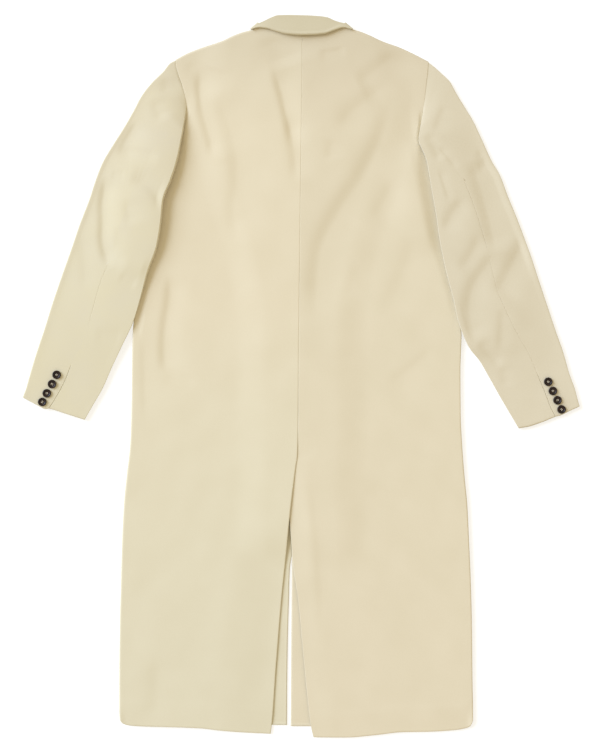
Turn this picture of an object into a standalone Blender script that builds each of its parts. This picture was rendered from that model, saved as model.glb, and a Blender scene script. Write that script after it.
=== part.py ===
"""A long wool overcoat, unbuttoned and laid flat on its front, with its sleeves spread.

Lengths are millimetres in this file and metres in the model. X runs from the wearer's left (-) to
the right (+), Y from the hem (-) to the collar (+), and Z up from the surface that the coat lies on.
The origin is on that surface, under the middle of the coat's outline.

The fronts lie on the surface with their lapels turned back under them, the backs lie on the fronts,
and each sleeve is a flattened tube whose inner fold laps over the body's side. Every piece of cloth
is a closed wall, lofted through rings that are worked out from the tables below.
"""

import math
from collections import namedtuple

import bmesh
import bpy
from mathutils import Vector

MM = 0.001

# Cloth
WALL = 2.2  # the outer cloth with what backs it
FOLD_RADIUS = 3.7  # outside radius of a side fold, so two layers stand 7.4 high
SEAM_GAP = 0.3
EDGE_GAP = 0.15  # half of the gap between the back and the front inside a side fold
EDGE_WALL = 0.5  # how thin a wall ends on the middle line of a side fold
FOLD_MARGIN = 8.0  # the strip beside a side edge that holds the fold's own columns
NECK_X = 74.0  # outside this the shoulder is a fold, inside it the neck seam is open
NECK_BLEND = 6.0
SHOULDER_SLOPE = 0.9  # a drop straight down is this much longer than one square to the shoulder
SIDE_CALM = (6.0, 25.0)  # where the back's folds begin beside its edges, and over how far
TOP_CALM = (8.0, 30.0)

# How the lapels and the buttons underneath raise the back and the fronts
BACK_RISE_MARGIN = 5.0
BACK_RISE = 60.0
BACK_LAPEL_FADE = (-40.0, 98.0)  # where it begins in Y, and over how far
BACK_BUTTON_FADE = (-340.0, 60.0)
FRONT_RISE_MARGIN = 8.0
FRONT_RISE = 30.0
FRONT_LAPEL_FADE = (10.0, 45.0)
FRONT_BUTTON_FADE = (-330.0, 60.0)
VENT_LIFT = 2.6  # how high the left back lies over the right back's underlap
VENT_LIFT_TOP = (-108.0, 24.0)
VENT_LIFT_END = (-262.0, 80.0)
VENT_LIFT_ACROSS = (26.0, 36.0)

# Lapels and collar
LAPEL_WALL = 3.0  # two layers of cloth
LAPEL_LIFT = LAPEL_WALL + SEAM_GAP
STAND_END = 64.0
STAND_STEPS = 12
STAND_BELOW_ROLL = 1.2
STAND_SHARES = (0.0, 0.5, 0.9)
COLLAR_MIDDLE_Z = LAPEL_LIFT + FOLD_RADIUS
COLLAR_OUTER = COLLAR_MIDDLE_Z
COLLAR_INNER = COLLAR_MIDDLE_Z - LAPEL_WALL

# Sleeves
ARMHOLE_GAP = 0.9
HIDDEN_ARMHOLE_GAP = 4.5  # between the lower layer and the front
UNDERARM_Y = (335.0, 290.0)  # the side fold begins between these heights
ARMHOLE_FADE = 0.35  # how fast the sections leave the armhole seam's curve, for each station
UPPER_CLIMB = (52.0, 44.0)  # where a layer rises beside the inner fold, and over how far
LOWER_CLIMB = (40.0, 28.0)
CLOSED_FLANGE = 20.0  # a wider flange than this closes the tube under the arm
HIND_GAP = 1.3 * SEAM_GAP
LOWER_STEPS = (0.0, 6.0, 12.0, 20.0)  # from the lower layer's edge
LOWER_MIDDLE = 0.45
FOLD_ANGLES = (-60, -30, 0, 30, 60)
HIND_BLEND = 0.95  # the added ring lies this far towards the station where the hind seam begins

# Buttons
CUFF_BUTTON_DIAMETER = 15.0
CUFF_BUTTON_HEIGHT = 3.4
FRONT_BUTTON_DIAMETER = 25.0
FRONT_BUTTON_HEIGHT = 2.4
FRONT_BUTTON_X = 9.0
FRONT_BUTTON_Y = (54.0, -76.0, -206.0)
BUTTON_SEGMENTS = 16

Point = namedtuple("Point", "x y")
Station = namedtuple("Station", "outer_x outer_y inner_x inner_y hind over cover flange")
Crease = namedtuple("Crease", "start bend end depth width")
Cut = namedtuple("Cut", "roll free")

# Outlines of the two halves, from the top down

NECK_AND_SHOULDER = {
    -1: [Point(2, 602), Point(-37, 604), Point(-73, 611), Point(-87, 601), Point(-103, 596),
         Point(-137, 581), Point(-171, 571), Point(-198, 560), Point(-218, 549)],
    1: [Point(2, 602), Point(40, 604), Point(73, 611), Point(90, 601), Point(118, 592),
        Point(141, 581), Point(171, 571), Point(191, 560), Point(222, 545)],
}
SIDE = {
    -1: [Point(-218, 549), Point(-218, 534), Point(-212, 517), Point(-205, 502), Point(-201, 483),
         Point(-199.6, 474), Point(-200, 463), Point(-200.8, 451), Point(-207, 437), Point(-215, 423),
         Point(-220, 407), Point(-223, 390), Point(-228, 365), Point(-237, 338), Point(-249, 303),
         Point(-252, 264), Point(-259, 224), Point(-273, 183), Point(-283, 145), Point(-288, 108),
         Point(-291, 94), Point(-293, 63), Point(-294, 10), Point(-295, -68), Point(-297, -120),
         Point(-303, -172), Point(-308, -224), Point(-311, -285), Point(-313, -355),
         Point(-315, -433), Point(-316, -529), Point(-315, -595)],
    1: [Point(222, 545), Point(220, 522), Point(217, 503), Point(214, 478), Point(213, 468),
        Point(212, 458), Point(209.2, 448), Point(211, 437), Point(215, 426), Point(216, 409),
        Point(223, 393), Point(228, 376), Point(234, 345), Point(239, 315), Point(244, 282),
        Point(249, 245), Point(256, 207), Point(264, 172), Point(272, 134), Point(276, 97),
        Point(279, 68), Point(278, 54), Point(277, 10), Point(277, -68), Point(280, -120),
        Point(284, -172), Point(289, -224), Point(292, -285), Point(295, -355), Point(297, -433),
        Point(298, -529), Point(299, -595)],
}
CENTRE_SEAM = [Point(2, 602), Point(2, 576), Point(0, 393), Point(-2, 219), Point(-4, 45),
               Point(-6, -132)]
VENT = {
    -1: [Point(-10, -163), Point(-16, -211), Point(-20, -247), Point(-26, -310), Point(-34, -388),
         Point(-44, -512), Point(-50, -607), Point(-53, -622)],
    1: [Point(-24, -150), Point(-26, -172), Point(-24, -211), Point(-20, -247), Point(-17, -285),
        Point(-13, -334), Point(-5, -388), Point(5, -494), Point(17, -611), Point(22, -628)],
}
HEM = {
    -1: [Point(-315, -595), Point(-306, -605), Point(-228, -609), Point(-176, -612),
         Point(-141, -616), Point(-106, -619), Point(-53, -622)],
    1: [Point(22, -628), Point(77, -628), Point(137, -623), Point(172, -619), Point(224, -618),
        Point(259, -616), Point(291, -610), Point(299, -595)],
}
FRONT_EDGE = {
    -1: [Point(-76, 609), Point(-68, 576), Point(-50, 508), Point(-35, 341), Point(-19, 89),
         Point(-19, -325), Point(-21, -390), Point(-23, -459), Point(-24, -607)],
    1: [Point(76, 609), Point(68, 576), Point(50, 508), Point(35, 341), Point(-16, 89),
        Point(-16, -325), Point(-16, -390), Point(-17, -459), Point(-18, -609)],
}
FRONT_HEM = {
    -1: [Point(-315, -595), Point(-300, -605), Point(-24, -607)],
    1: [Point(-18, -609), Point(285, -608), Point(299, -595)],
}
# How far out the lapel and the collar's leaf reach under the front, and the button line below them
LIFTED_REACH = {
    -1: [Point(-92, 615), Point(-119, 567), Point(-127, 500), Point(-143, 466), Point(-127, 393),
         Point(-102, 306), Point(-71, 211), Point(-60, 96), Point(-60, -700)],
    1: [Point(92, 615), Point(119, 567), Point(127, 500), Point(143, 466), Point(127, 393),
        Point(102, 306), Point(71, 211), Point(40, 96), Point(40, -700)],
}
ROW_Y = [602, 601.4, 600.2, 598, 593, 580, 562, 545, 527, 508, 488, 465, 440, 415, 390, 362, 334,
         302, 270, 236, 200, 165, 130, 95, 60, 20, -25, -70, -108, -132, -150, -172, -211, -247,
         -285, -325, -370, -425, -480, -535, -585, -615]
FRONT_ROWS_SKIPPED = 2
BACK_SHARES = [0.0, 0.04, 0.1, 0.2, 0.32, 0.45, 0.58, 0.7, 0.81, 0.91, 1.0]
FRONT_SHARES = [0.3, 0.6, 1.0]
FOLD_COLUMNS = [3.7, 1.6, 0.5, 0.0]  # distances from a side edge

CREASE_FADE = 4.0  # how fast a fold reaches its full depth, and what share its ends keep
CREASE_END = 0.15
# The largest folds of the back: a soft trough (depth below 0) or ridge through three points
BACK_CREASES = [
    Crease(Point(-188, 524), Point(-176, 440), Point(-152, 360), -2.0, 10),
    Crease(Point(-168, 500), Point(-150, 440), Point(-138, 380), 2.2, 13),
    Crease(Point(-150, 454), Point(-126, 370), Point(-126, 270), -1.8, 11),
    Crease(Point(-100, 470), Point(-92, 380), Point(-90, 290), 2.0, 20),
    Crease(Point(-45, 524), Point(-20, 420), Point(-12, 350), -1.6, 12),
    Crease(Point(146, 445), Point(85, 330), Point(19, 237), -2.4, 14),
    Crease(Point(19, 237), Point(6, 170), Point(2, 97), -1.6, 16),
    Crease(Point(115, 470), Point(60, 372), Point(12, 290), 2.6, 19),
    Crease(Point(168, 400), Point(120, 300), Point(70, 210), 2.2, 22),
    Crease(Point(137, 515), Point(85, 445), Point(42, 376), -1.5, 10),
    Crease(Point(242, 63), Point(172, 26), Point(103, 2), -1.8, 13),
    Crease(Point(225, 95), Point(160, 60), Point(100, 40), 1.8, 16),
    Crease(Point(-233, 132), Point(-238, 90), Point(-242, 45), -2.0, 9),
    Crease(Point(-214, 120), Point(-216, 70), Point(-222, 10), 2.2, 14),
    Crease(Point(85, -167), Point(160, -205), Point(224, -259), -1.5, 20),
    Crease(Point(19, -172), Point(34, -390), Point(38, -590), -1.4, 14),
]

# Sleeves: the ends of each flat section, the share of its width where the hind seam lies, how high
# its inner fold lies, how far the body reaches under it, and how wide the under sleeve's lower
# layer is
SLEEVE = {
    -1: [
        Station(-218, 549, -200, 474, 1.00, 0.0, 0.0, 0.0),
        Station(-228, 544, -202, 463, 1.00, 4.0, 0.0, 0.0),
        Station(-240, 529, -202, 451, 0.93, 7.6, 2.0, 5.5),
        Station(-259, 510, -204, 437, 0.88, 8.3, 6.0, 6.5),
        Station(-277, 487, -207, 423, 0.82, 8.3, 8.0, 8.0),
        Station(-292, 459, -211, 407, 0.76, 8.3, 10.0, 8.0),
        Station(-307, 433, -213, 390, 0.70, 8.3, 10.0, 8.0),
        Station(-326, 403, -218, 365, 0.64, 8.3, 10.0, 8.0),
        Station(-344, 373, -227, 338, 0.59, 8.3, 10.0, 8.0),
        Station(-357, 341, -239, 303, 0.55, 8.3, 10.0, 8.0),
        Station(-367, 310, -242, 264, 0.51, 8.3, 10.0, 24.6),
        Station(-385, 263, -249, 224, 0.48, 8.3, 10.0, 24.6),
        Station(-400, 219, -264, 183, 0.47, 8.3, 10.0, 24.6),
        Station(-416, 174, -275, 145, 0.50, 8.3, 8.0, 24.6),
        Station(-432, 127, -291, 94, 0.53, 8.0, 0.0, 24.6),
        Station(-447, 79, -311, 52, 0.54, 4.5, 0.0, 24.6),
        Station(-461, 37, -329, 14, 0.48, 1.6, 0.0, 24.6),
        Station(-472, 0, -345, -22, 0.45, 0.0, 0.0, 24.6),
        Station(-478, -21, -360, -48, 0.43, 0.0, 0.0, 24.6),
        Station(-484, -37, -376, -76, 0.42, 0.0, 0.0, 24.6),
    ],
    1: [
        Station(222, 545, 213.6, 468, 1.00, 0.0, 0.0, 0.0),
        Station(230, 539, 213, 458, 1.00, 4.0, 0.0, 0.0),
        Station(244, 526, 210, 448, 0.93, 7.6, 4.0, 5.5),
        Station(258, 512, 208, 437, 0.88, 8.3, 7.0, 6.5),
        Station(271, 489, 206, 426, 0.82, 8.3, 9.0, 8.0),
        Station(285, 466, 205, 409, 0.76, 8.3, 11.0, 8.0),
        Station(299, 443, 212, 393, 0.69, 8.3, 11.0, 8.0),
        Station(315, 409, 218, 376, 0.62, 8.3, 10.0, 8.0),
        Station(331, 374, 224, 345, 0.56, 8.3, 10.0, 8.0),
        Station(345, 350, 229, 315, 0.51, 8.3, 10.0, 8.0),
        Station(360, 311, 234, 282, 0.48, 8.3, 10.0, 24.6),
        Station(374, 277, 239, 245, 0.467, 8.3, 10.0, 24.6),
        Station(388, 240, 246, 207, 0.464, 8.3, 10.0, 24.6),
        Station(401, 204, 254, 172, 0.48, 8.3, 10.0, 24.6),
        Station(414, 164, 264, 134, 0.49, 8.3, 8.0, 24.6),
        Station(428, 122, 272, 97, 0.457, 8.3, 4.0, 24.6),
        Station(442, 80, 291, 50, 0.42, 5.5, 0.0, 24.6),
        Station(456, 40, 310, 26, 0.40, 2.0, 0.0, 24.6),
        Station(466, 5, 327, -3, 0.395, 0.5, 0.0, 24.6),
        Station(476, -23, 345, -35, 0.40, 0.0, 0.0, 24.6),
        Station(481, -42, 362, -64, 0.41, 0.0, 0.0, 24.6),
        Station(484, -52, 378, -91, 0.405, 0.0, 0.0, 24.6),
    ],
}
UNDERSLEEVE_FIRST = 2  # the station where the hind seam leaves the armhole
CUFF_BUTTONS = {
    -1: [Point(-424, 2), Point(-432, -14), Point(-441, -30), Point(-449, -45)],
    1: [Point(429, -10), Point(437, -26), Point(445, -42), Point(452, -58)],
}

# The collar's fall over the back neck: its rolled top and its free lower edge, from left to right
COLLAR_TOP = [
    Cut(Point(-71, 610), Point(-85.5, 600)),
    Cut(Point(-66, 617.5), Point(-74, 605.5)),
    Cut(Point(-49, 625), Point(-61, 604.5)),
    Cut(Point(-37, 628), Point(-42, 599)),
    Cut(Point(-19, 628), Point(-24, 595)),
    Cut(Point(0, 627.6), Point(0, 593)),
    Cut(Point(16, 627), Point(20, 593.5)),
    Cut(Point(44, 625), Point(41, 595)),
    Cut(Point(62, 618), Point(59, 601.5)),
    Cut(Point(67, 615.5), Point(75, 604.5)),
    Cut(Point(71, 610), Point(88, 600)),
]
# Its leaves under the fronts, and the lapels below them, on the left; the right is their mirror
COLLAR_LEAF = [
    Cut(Point(-68, 576), Point(-113, 567)),
    Cut(Point(-59, 541), Point(-120, 532)),
    Cut(Point(-50, 512), Point(-113, 494)),
]
CREASE_TURN = [30, 60, 90, 120, 150, 180]
LAPEL = [
    Cut(Point(-50, 511.4), Point(-90, 500)),
    Cut(Point(-49, 503), Point(-114, 484)),
    Cut(Point(-48, 494), Point(-137, 466)),
    Cut(Point(-42, 428), Point(-122, 393)),
    Cut(Point(-35, 341), Point(-97, 306)),
    Cut(Point(-28, 237), Point(-66, 211)),
    Cut(Point(-23, 150), Point(-42, 137)),
    Cut(Point(-20, 100), Point(-25, 96)),
]


CREAM = (0.80, 0.74, 0.52)
HORN_BROWN = (0.03, 0.02, 0.015)

# A strip's section: shares of its width, and how far its faces sink at each, in shares of its wall
STRIP_SECTION = [
    (0.0, 0.75, 0.0), (0.06, 0.3, 0.0), (0.2, 0.03, 0.0), (0.5, 0.0, 0.0), (0.8, 0.0, 0.0),
    (0.95, 0.15, 0.0), (1.0, 0.55, 0.15),
]


# Small helpers

def smooth(share):
    """An even rise from 0 to 1 as the share goes from 0 to 1."""
    share = min(1.0, max(0.0, share))
    return share * share * (3.0 - 2.0 * share)


def faded(place, fade):
    """An even rise from 0 to 1 that begins at a place and takes a given run."""
    start, run = fade
    return smooth((place - start) / run)


def lerp(start, end, share):
    """The value that lies at a share of the way from start to end."""
    return start + (end - start) * share


def x_at(points, y):
    """X where a line of points that runs downwards crosses a height."""
    for upper, lower in zip(points, points[1:]):
        if y >= lower.y:
            return lerp(upper.x, lower.x, (upper.y - y) / (upper.y - lower.y))
    return points[-1].x


def y_at(points, x):
    """Y where a line of points that runs sideways crosses an X."""
    ordered = sorted(points)
    for left, right in zip(ordered, ordered[1:]):
        if x <= right.x:
            return lerp(left.y, right.y, (x - left.x) / (right.x - left.x))
    return ordered[-1].y


def distance_to_run(x, y, start, end):
    """How far a place lies from a straight run, and its share of the way along it."""
    run_x = end.x - start.x
    run_y = end.y - start.y
    along = ((x - start.x) * run_x + (y - start.y) * run_y) / (run_x ** 2 + run_y ** 2)
    share = min(1.0, max(0.0, along))
    near_x = start.x + run_x * share
    near_y = start.y + run_y * share
    return math.hypot(x - near_x, y - near_y), share


def crease_height(x, y):
    """The sum of the back's largest folds at a place."""
    height = 0.0
    for crease in BACK_CREASES:
        first, first_share = distance_to_run(x, y, crease.start, crease.bend)
        second, second_share = distance_to_run(x, y, crease.bend, crease.end)
        along = 0.5 * first_share if first < second else 0.5 + 0.5 * second_share
        ends = smooth(CREASE_FADE * min(along, 1.0 - along) + CREASE_END)
        height += crease.depth * ends * math.exp(-((min(first, second) / crease.width) ** 2))
    return height


def material(name, colour, roughness):
    """A plain Principled material."""
    made = bpy.data.materials.new(name)
    made.use_nodes = True
    shader = made.node_tree.nodes["Principled BSDF"]
    shader.inputs["Base Color"].default_value = (*colour, 1.0)
    shader.inputs["Roughness"].default_value = roughness
    return made


def add_object(name, bm, made_material):
    """Closes the mesh's normals outwards and puts it in the scene under a node's name."""
    bmesh.ops.recalc_face_normals(bm, faces=bm.faces)
    mesh = bpy.data.meshes.new(name)
    bm.to_mesh(mesh)
    bm.free()
    mesh.materials.append(made_material)
    mesh.shade_smooth()
    mesh.set_sharp_from_angle(angle=math.radians(40))
    item = bpy.data.objects.new(name, mesh)
    bpy.context.scene.collection.objects.link(item)
    return item


def loft(name, rings, made_material):
    """A closed wall through rings, each an outer line of (x, y, z) and an inner one of as many."""
    bm = bmesh.new()
    lofted = []
    for outer, inner in rings:
        ring = list(outer) + list(reversed(inner))
        lofted.append([bm.verts.new(Vector(place) * MM) for place in ring])
    count = len(lofted[0])
    for ring, following in zip(lofted, lofted[1:]):
        for index in range(count):
            after = (index + 1) % count
            bm.faces.new((ring[index], ring[after], following[after], following[index]))
    for ring in (lofted[0], lofted[-1]):
        for index in range(count // 2 - 1):
            mirror = count - 1 - index
            bm.faces.new((ring[index], ring[index + 1], ring[mirror - 1], ring[mirror]))
    bmesh.ops.triangulate(bm, faces=bm.faces)
    return add_object(name, bm, made_material)


# Body: backs and fronts

def outer_drop(distance):
    """How far the outside of a side fold has turned in at a distance from its edge."""
    reach = min(distance, FOLD_RADIUS)
    round_drop = FOLD_RADIUS - math.sqrt(FOLD_RADIUS ** 2 - (FOLD_RADIUS - reach) ** 2)
    return min(round_drop, FOLD_RADIUS - EDGE_GAP - EDGE_WALL)


def inner_drop(distance):
    """The same for the inside of the fold."""
    radius = FOLD_RADIUS - WALL
    reach = min(max(distance - WALL, 0.0), radius)
    round_drop = radius - math.sqrt(radius ** 2 - (radius - reach) ** 2)
    return min(round_drop, radius - EDGE_GAP)


def side_turn(y):
    """0 where the armhole leaves the layers open at the side, 1 where they meet in a fold."""
    return smooth((UNDERARM_Y[0] - y) / (UNDERARM_Y[0] - UNDERARM_Y[1]))


def back_lift(side, x, y):
    """How much the lapels and the button line under the fronts raise the back."""
    reach = abs(x_at(LIFTED_REACH[side], y))
    across = 1.0 - smooth((abs(x) - reach - BACK_RISE_MARGIN) / BACK_RISE)
    over_lapels = LAPEL_LIFT * faded(y, BACK_LAPEL_FADE)
    over_buttons = (FRONT_BUTTON_HEIGHT + SEAM_GAP) * faded(y, BACK_BUTTON_FADE)
    return across * max(over_lapels, over_buttons)


def front_lift(side, x, y):
    """How high the front's underside lies over the lapel, the collar's leaf and the buttons."""
    reach = abs(x_at(LIFTED_REACH[side], y))
    across = min(1.0, max(0.0, 1.0 - (abs(x) - reach - FRONT_RISE_MARGIN) / FRONT_RISE))
    over_lapels = LAPEL_LIFT * faded(y, FRONT_LAPEL_FADE)
    over_buttons = (FRONT_BUTTON_HEIGHT + SEAM_GAP) * faded(y, FRONT_BUTTON_FADE)
    return across * max(over_lapels, over_buttons if side > 0 else 0.0)


def vent_lift(x, y):
    """How much the left back rises over the right back's underlap at the vent."""
    edge = x_at(CENTRE_SEAM + VENT[-1], y)
    top, top_run = VENT_LIFT_TOP
    end, end_run = VENT_LIFT_END
    along = smooth((top - y) / top_run) * (1.0 - smooth((end - y) / end_run))
    return VENT_LIFT * along * (1.0 - faded(edge - x, VENT_LIFT_ACROSS))


def back_edge(side):
    """The centre line of a back: the centre seam, then its own edge of the vent."""
    gap = SEAM_GAP if side > 0 else 0.0
    return [Point(place.x + gap, place.y) for place in CENTRE_SEAM] + VENT[side]


def panel_plan(side, inner_line, top_line, hem_line, shares_at):
    """The columns' places (x, y, distance to the side, distance to the shoulder) in each row."""
    inner_hem = inner_line[-1].y
    rows = []
    for row_y in ROW_Y + [inner_hem]:
        down = (ROW_Y[0] - row_y) / (ROW_Y[0] - inner_hem)
        inner_x = x_at(inner_line, lerp(inner_line[0].y, inner_hem, down))
        side_y = lerp(SIDE[side][0].y, SIDE[side][-1].y, down)
        side_x = x_at(SIDE[side], side_y)
        width = abs(side_x - inner_x)
        middle_y = lerp(inner_line[0].y, inner_hem, down)
        row = []
        for share in shares_at(inner_x, width, middle_y):
            x = lerp(inner_x, side_x, share)
            top_x = lerp(inner_line[0].x, SIDE[side][0].x, share)
            hem_x = lerp(inner_line[-1].x, SIDE[side][-1].x, share)
            top = y_at(top_line, top_x)
            y = lerp(top, y_at(hem_line, hem_x), down)
            row.append((x, y, width * (1.0 - share), SHOULDER_SLOPE * (top - y)))
        rows.append(row)
    return rows


def fold_turns(x, y, to_side, to_top):
    """The drops of a panel's outside and inside at its side fold and shoulder fold."""
    at_side = side_turn(y)
    at_top = smooth((abs(x) - NECK_X) / NECK_BLEND)
    outside = max(at_side * outer_drop(to_side), at_top * outer_drop(to_top))
    inside = max(at_side * inner_drop(to_side), at_top * inner_drop(to_top))
    return outside, inside


def make_back(side, name, cloth):
    """One back panel, from the neck and shoulder to the hem."""
    inner_line = back_edge(side)

    def shares_at(_inner_x, width, _y):
        body = [share * (1.0 - FOLD_MARGIN / width) for share in BACK_SHARES]
        return body + [1.0 - offset / width for offset in FOLD_COLUMNS]

    rings = []
    plan = panel_plan(side, inner_line, NECK_AND_SHOULDER[side], HEM[side], shares_at)
    for row in plan:
        outer = []
        inner = []
        for x, y, to_side, to_top in row:
            outside, inside = fold_turns(x, y, to_side, to_top)
            calm = faded(to_side, SIDE_CALM) * faded(to_top, TOP_CALM)
            top = 2.0 * FOLD_RADIUS + back_lift(side, x, y) + calm * crease_height(x, y)
            if side < 0:
                top += vent_lift(x, y)
            outer.append((x, y, top - outside))
            inner.append((x, y, top - WALL - inside))
        rings.append((outer, inner))
    return loft(name, rings, cloth)


def make_front(side, name, cloth):
    """One front panel, which lies on the surface and rises over its lapel."""

    def shares_at(inner_x, width, y):
        reach = abs(x_at(LIFTED_REACH[side], y) - inner_x) / width
        ramp = reach + FRONT_RISE / width
        body = 1.0 - FOLD_MARGIN / width
        rest = [lerp(ramp, body, share) for share in FRONT_SHARES]
        fold = [1.0 - offset / width for offset in FOLD_COLUMNS]
        return [0.0, 0.5 * reach, reach, ramp] + rest + fold

    rings = []
    plan = panel_plan(side, FRONT_EDGE[side], NECK_AND_SHOULDER[side], FRONT_HEM[side], shares_at)
    kept = plan[:5] + plan[5:-1:FRONT_ROWS_SKIPPED] + plan[-1:]
    for row in kept:
        outer = []
        inner = []
        for x, y, to_side, to_top in row:
            outside, inside = fold_turns(x, y, to_side, to_top)
            bottom = front_lift(side, x, y)
            outer.append((x, y, bottom + outside))
            inner.append((x, y, bottom + WALL + inside))
        rings.append((outer, inner))
    return loft(name, rings, cloth)


# Collar and lapels

def strip_section(cut, outer_z, inner_z):
    """A strip from its rolled edge to its free edge as (x, y, z) lines, its corners rounded."""
    thick = outer_z - inner_z
    outer = []
    inner = []
    for share, outer_sink, inner_rise in STRIP_SECTION:
        x = lerp(cut.roll.x, cut.free.x, share)
        y = lerp(cut.roll.y, cut.free.y, share)
        outer.append((x, y, outer_z - outer_sink * thick))
        inner.append((x, y, inner_z + inner_rise * thick))
    return outer, inner


def turned(section, cut, angle):
    """A section of the fall turned about its crease line by an angle, 180 on the underside."""
    run = Vector((cut.free.x - cut.roll.x, cut.free.y - cut.roll.y, 0.0)).normalized()
    outward = Vector((-abs(run.y), abs(run.x), 0.0))
    if cut.free.x > 0:
        outward.x = -outward.x
    turn = math.radians(angle)
    lines = []
    for line in section:
        moved = []
        for x, y, z in line:
            arm = z - COLLAR_MIDDLE_Z
            shift = outward * (arm * math.sin(turn))
            moved.append((x + shift.x, y + shift.y, COLLAR_MIDDLE_Z + arm * math.cos(turn)))
        lines.append(moved)
    return tuple(lines)


def make_collar(cloth):
    """The fall: over the back neck, round both shoulders and under the fronts to the gorges."""
    outer_z = COLLAR_MIDDLE_Z + COLLAR_OUTER
    inner_z = COLLAR_MIDDLE_Z + COLLAR_INNER
    over = [strip_section(cut, outer_z, inner_z) for cut in COLLAR_TOP]
    left = []
    right = []
    for angle in CREASE_TURN:
        left.append(turned(over[0], COLLAR_TOP[0], angle))
        right.append(turned(over[-1], COLLAR_TOP[-1], angle))
    for cut in COLLAR_LEAF:
        section = strip_section(cut, outer_z, inner_z)
        under = turned(section, cut, 180)
        left.append(under)
        right.append(tuple([(-x, y, z) for x, y, z in line] for line in under))
    loft("collar", list(reversed(left)) + over + right, cloth)


def make_stand(cloth):
    """The stand: the band between the back neck seam and the roll, under the fall."""
    bottom = LAPEL_LIFT + 2.0 * FOLD_RADIUS - WALL
    neck = NECK_AND_SHOULDER[-1] + NECK_AND_SHOULDER[1][1:]
    roll = [cut.roll for cut in COLLAR_TOP]
    rings = []
    for step in range(STAND_STEPS + 1):
        x = lerp(-STAND_END, STAND_END, step / STAND_STEPS)
        low = y_at(neck, x) + 2.0 * SEAM_GAP
        high = y_at(roll, x) - STAND_BELOW_ROLL
        outer = [(x, lerp(low, high, share), bottom + WALL) for share in STAND_SHARES]
        inner = [(x, lerp(low, high, share), bottom) for share in STAND_SHARES]
        outer.append((x, high, bottom + 0.6 * WALL))
        inner.append((x, high, bottom + 0.2 * WALL))
        rings.append((outer, inner))
    loft("collar_stand", rings, cloth)


def make_lapel(side, name, cloth):
    """One lapel, turned back under its front from the gorge to the top button."""
    rings = []
    for cut in LAPEL:
        outer, inner = strip_section(cut, LAPEL_WALL, 0.0)
        upside = [(-side * x, y, LAPEL_WALL - z) for x, y, z in outer]
        inside = [(-side * x, y, LAPEL_WALL - z) for x, y, z in inner]
        rings.append((upside, inside))
    loft(name, rings, cloth)


# Sleeves

def climb(station, width, place, layer):
    """How high a layer of the sleeve lies at a place across it, as it rises over the body."""
    start, run = layer
    return station.over * smooth((place - (width - start)) / run)


def sleeve_place(side, index, share, height, gap=ARMHOLE_GAP):
    """A point of a station, where the first stations follow the armhole seam's own curve."""
    station = SLEEVE[side][index]
    first = SLEEVE[side][0]
    x = lerp(station.outer_x, station.inner_x, share)
    y = lerp(station.outer_y, station.inner_y, share)
    seam_x = x_at(SIDE[side], lerp(first.outer_y, first.inner_y, share)) + side * gap
    straight_x = lerp(first.outer_x, first.inner_x, share)
    fade = max(0.0, 1.0 - ARMHOLE_FADE * index)
    return (x + (seam_x - straight_x) * fade, y, height)


def station_width(station):
    """The flat width of a sleeve at a station."""
    return math.hypot(station.inner_x - station.outer_x, station.inner_y - station.outer_y)


def topsleeve_section(side, index, hind_share):
    """The top sleeve: the lower layer, the outer fold, and the upper layer to the hind seam."""
    station = SLEEVE[side][index]
    width = station_width(station)
    radius = FOLD_RADIUS
    tube = station.flange > CLOSED_FLANGE
    if tube:
        end = width - station.flange - HIND_GAP
    else:
        end = width - station.cover - HIDDEN_ARMHOLE_GAP
    outer = []
    inner = []
    places = [end - step for step in LOWER_STEPS]
    for place in places + [lerp(radius, end, LOWER_MIDDLE), radius]:
        low = climb(station, width, place, LOWER_CLIMB) if tube else 0.0
        for line, height in ((outer, low), (inner, low + WALL)):
            line.append(sleeve_place(side, index, place / width, height, HIDDEN_ARMHOLE_GAP))
    for angle in FOLD_ANGLES:
        turn = math.radians(angle)
        gap = ARMHOLE_GAP if angle > 0 else HIDDEN_ARMHOLE_GAP
        for line, arm in ((outer, radius), (inner, radius - WALL)):
            share = (radius - arm * math.cos(turn)) / width
            line.append(sleeve_place(side, index, share, radius + arm * math.sin(turn), gap))
    seam = hind_share * width
    for share in (0.0, 0.25, 0.5, 0.75, 1.0):
        place = lerp(radius, seam, share)
        high = 2.0 * radius + climb(station, width, place, UPPER_CLIMB)
        outer.append(sleeve_place(side, index, place / width, high))
        inner.append(sleeve_place(side, index, place / width, high - WALL))
    return outer, inner


def undersleeve_section(side, index):
    """The under sleeve: from the hind seam over the inner fold to the forearm seam below."""
    station = SLEEVE[side][index]
    width = station_width(station)
    radius = FOLD_RADIUS
    start = station.hind * width + HIND_GAP
    outer = []
    inner = []
    for share in (0.0, 0.2, 0.45, 0.7, 0.88, 1.0):
        place = lerp(start, width - radius, share)
        high = 2.0 * radius + climb(station, width, place, UPPER_CLIMB)
        outer.append(sleeve_place(side, index, place / width, high))
        inner.append(sleeve_place(side, index, place / width, high - WALL))
    middle = radius + station.over
    for angle in reversed(FOLD_ANGLES):
        turn = math.radians(angle)
        for line, arm in ((outer, radius), (inner, radius - WALL)):
            place = width - radius + arm * math.cos(turn)
            line.append(sleeve_place(side, index, place / width, middle + arm * math.sin(turn)))
    for share in (0.0, 0.2, 0.4, 0.6, 0.8, 1.0):
        place = lerp(width - radius, width - station.flange, share)
        low = climb(station, width, place, LOWER_CLIMB)
        outer.append(sleeve_place(side, index, place / width, low))
        inner.append(sleeve_place(side, index, place / width, low + WALL))
    return outer, inner


def blend_sections(first, second, share):
    """A section at a share of the way between two others."""
    lines = []
    for line, other in zip(first, second):
        lines.append([tuple(Vector(a).lerp(Vector(b), share)) for a, b in zip(line, other)])
    return tuple(lines)


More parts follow.
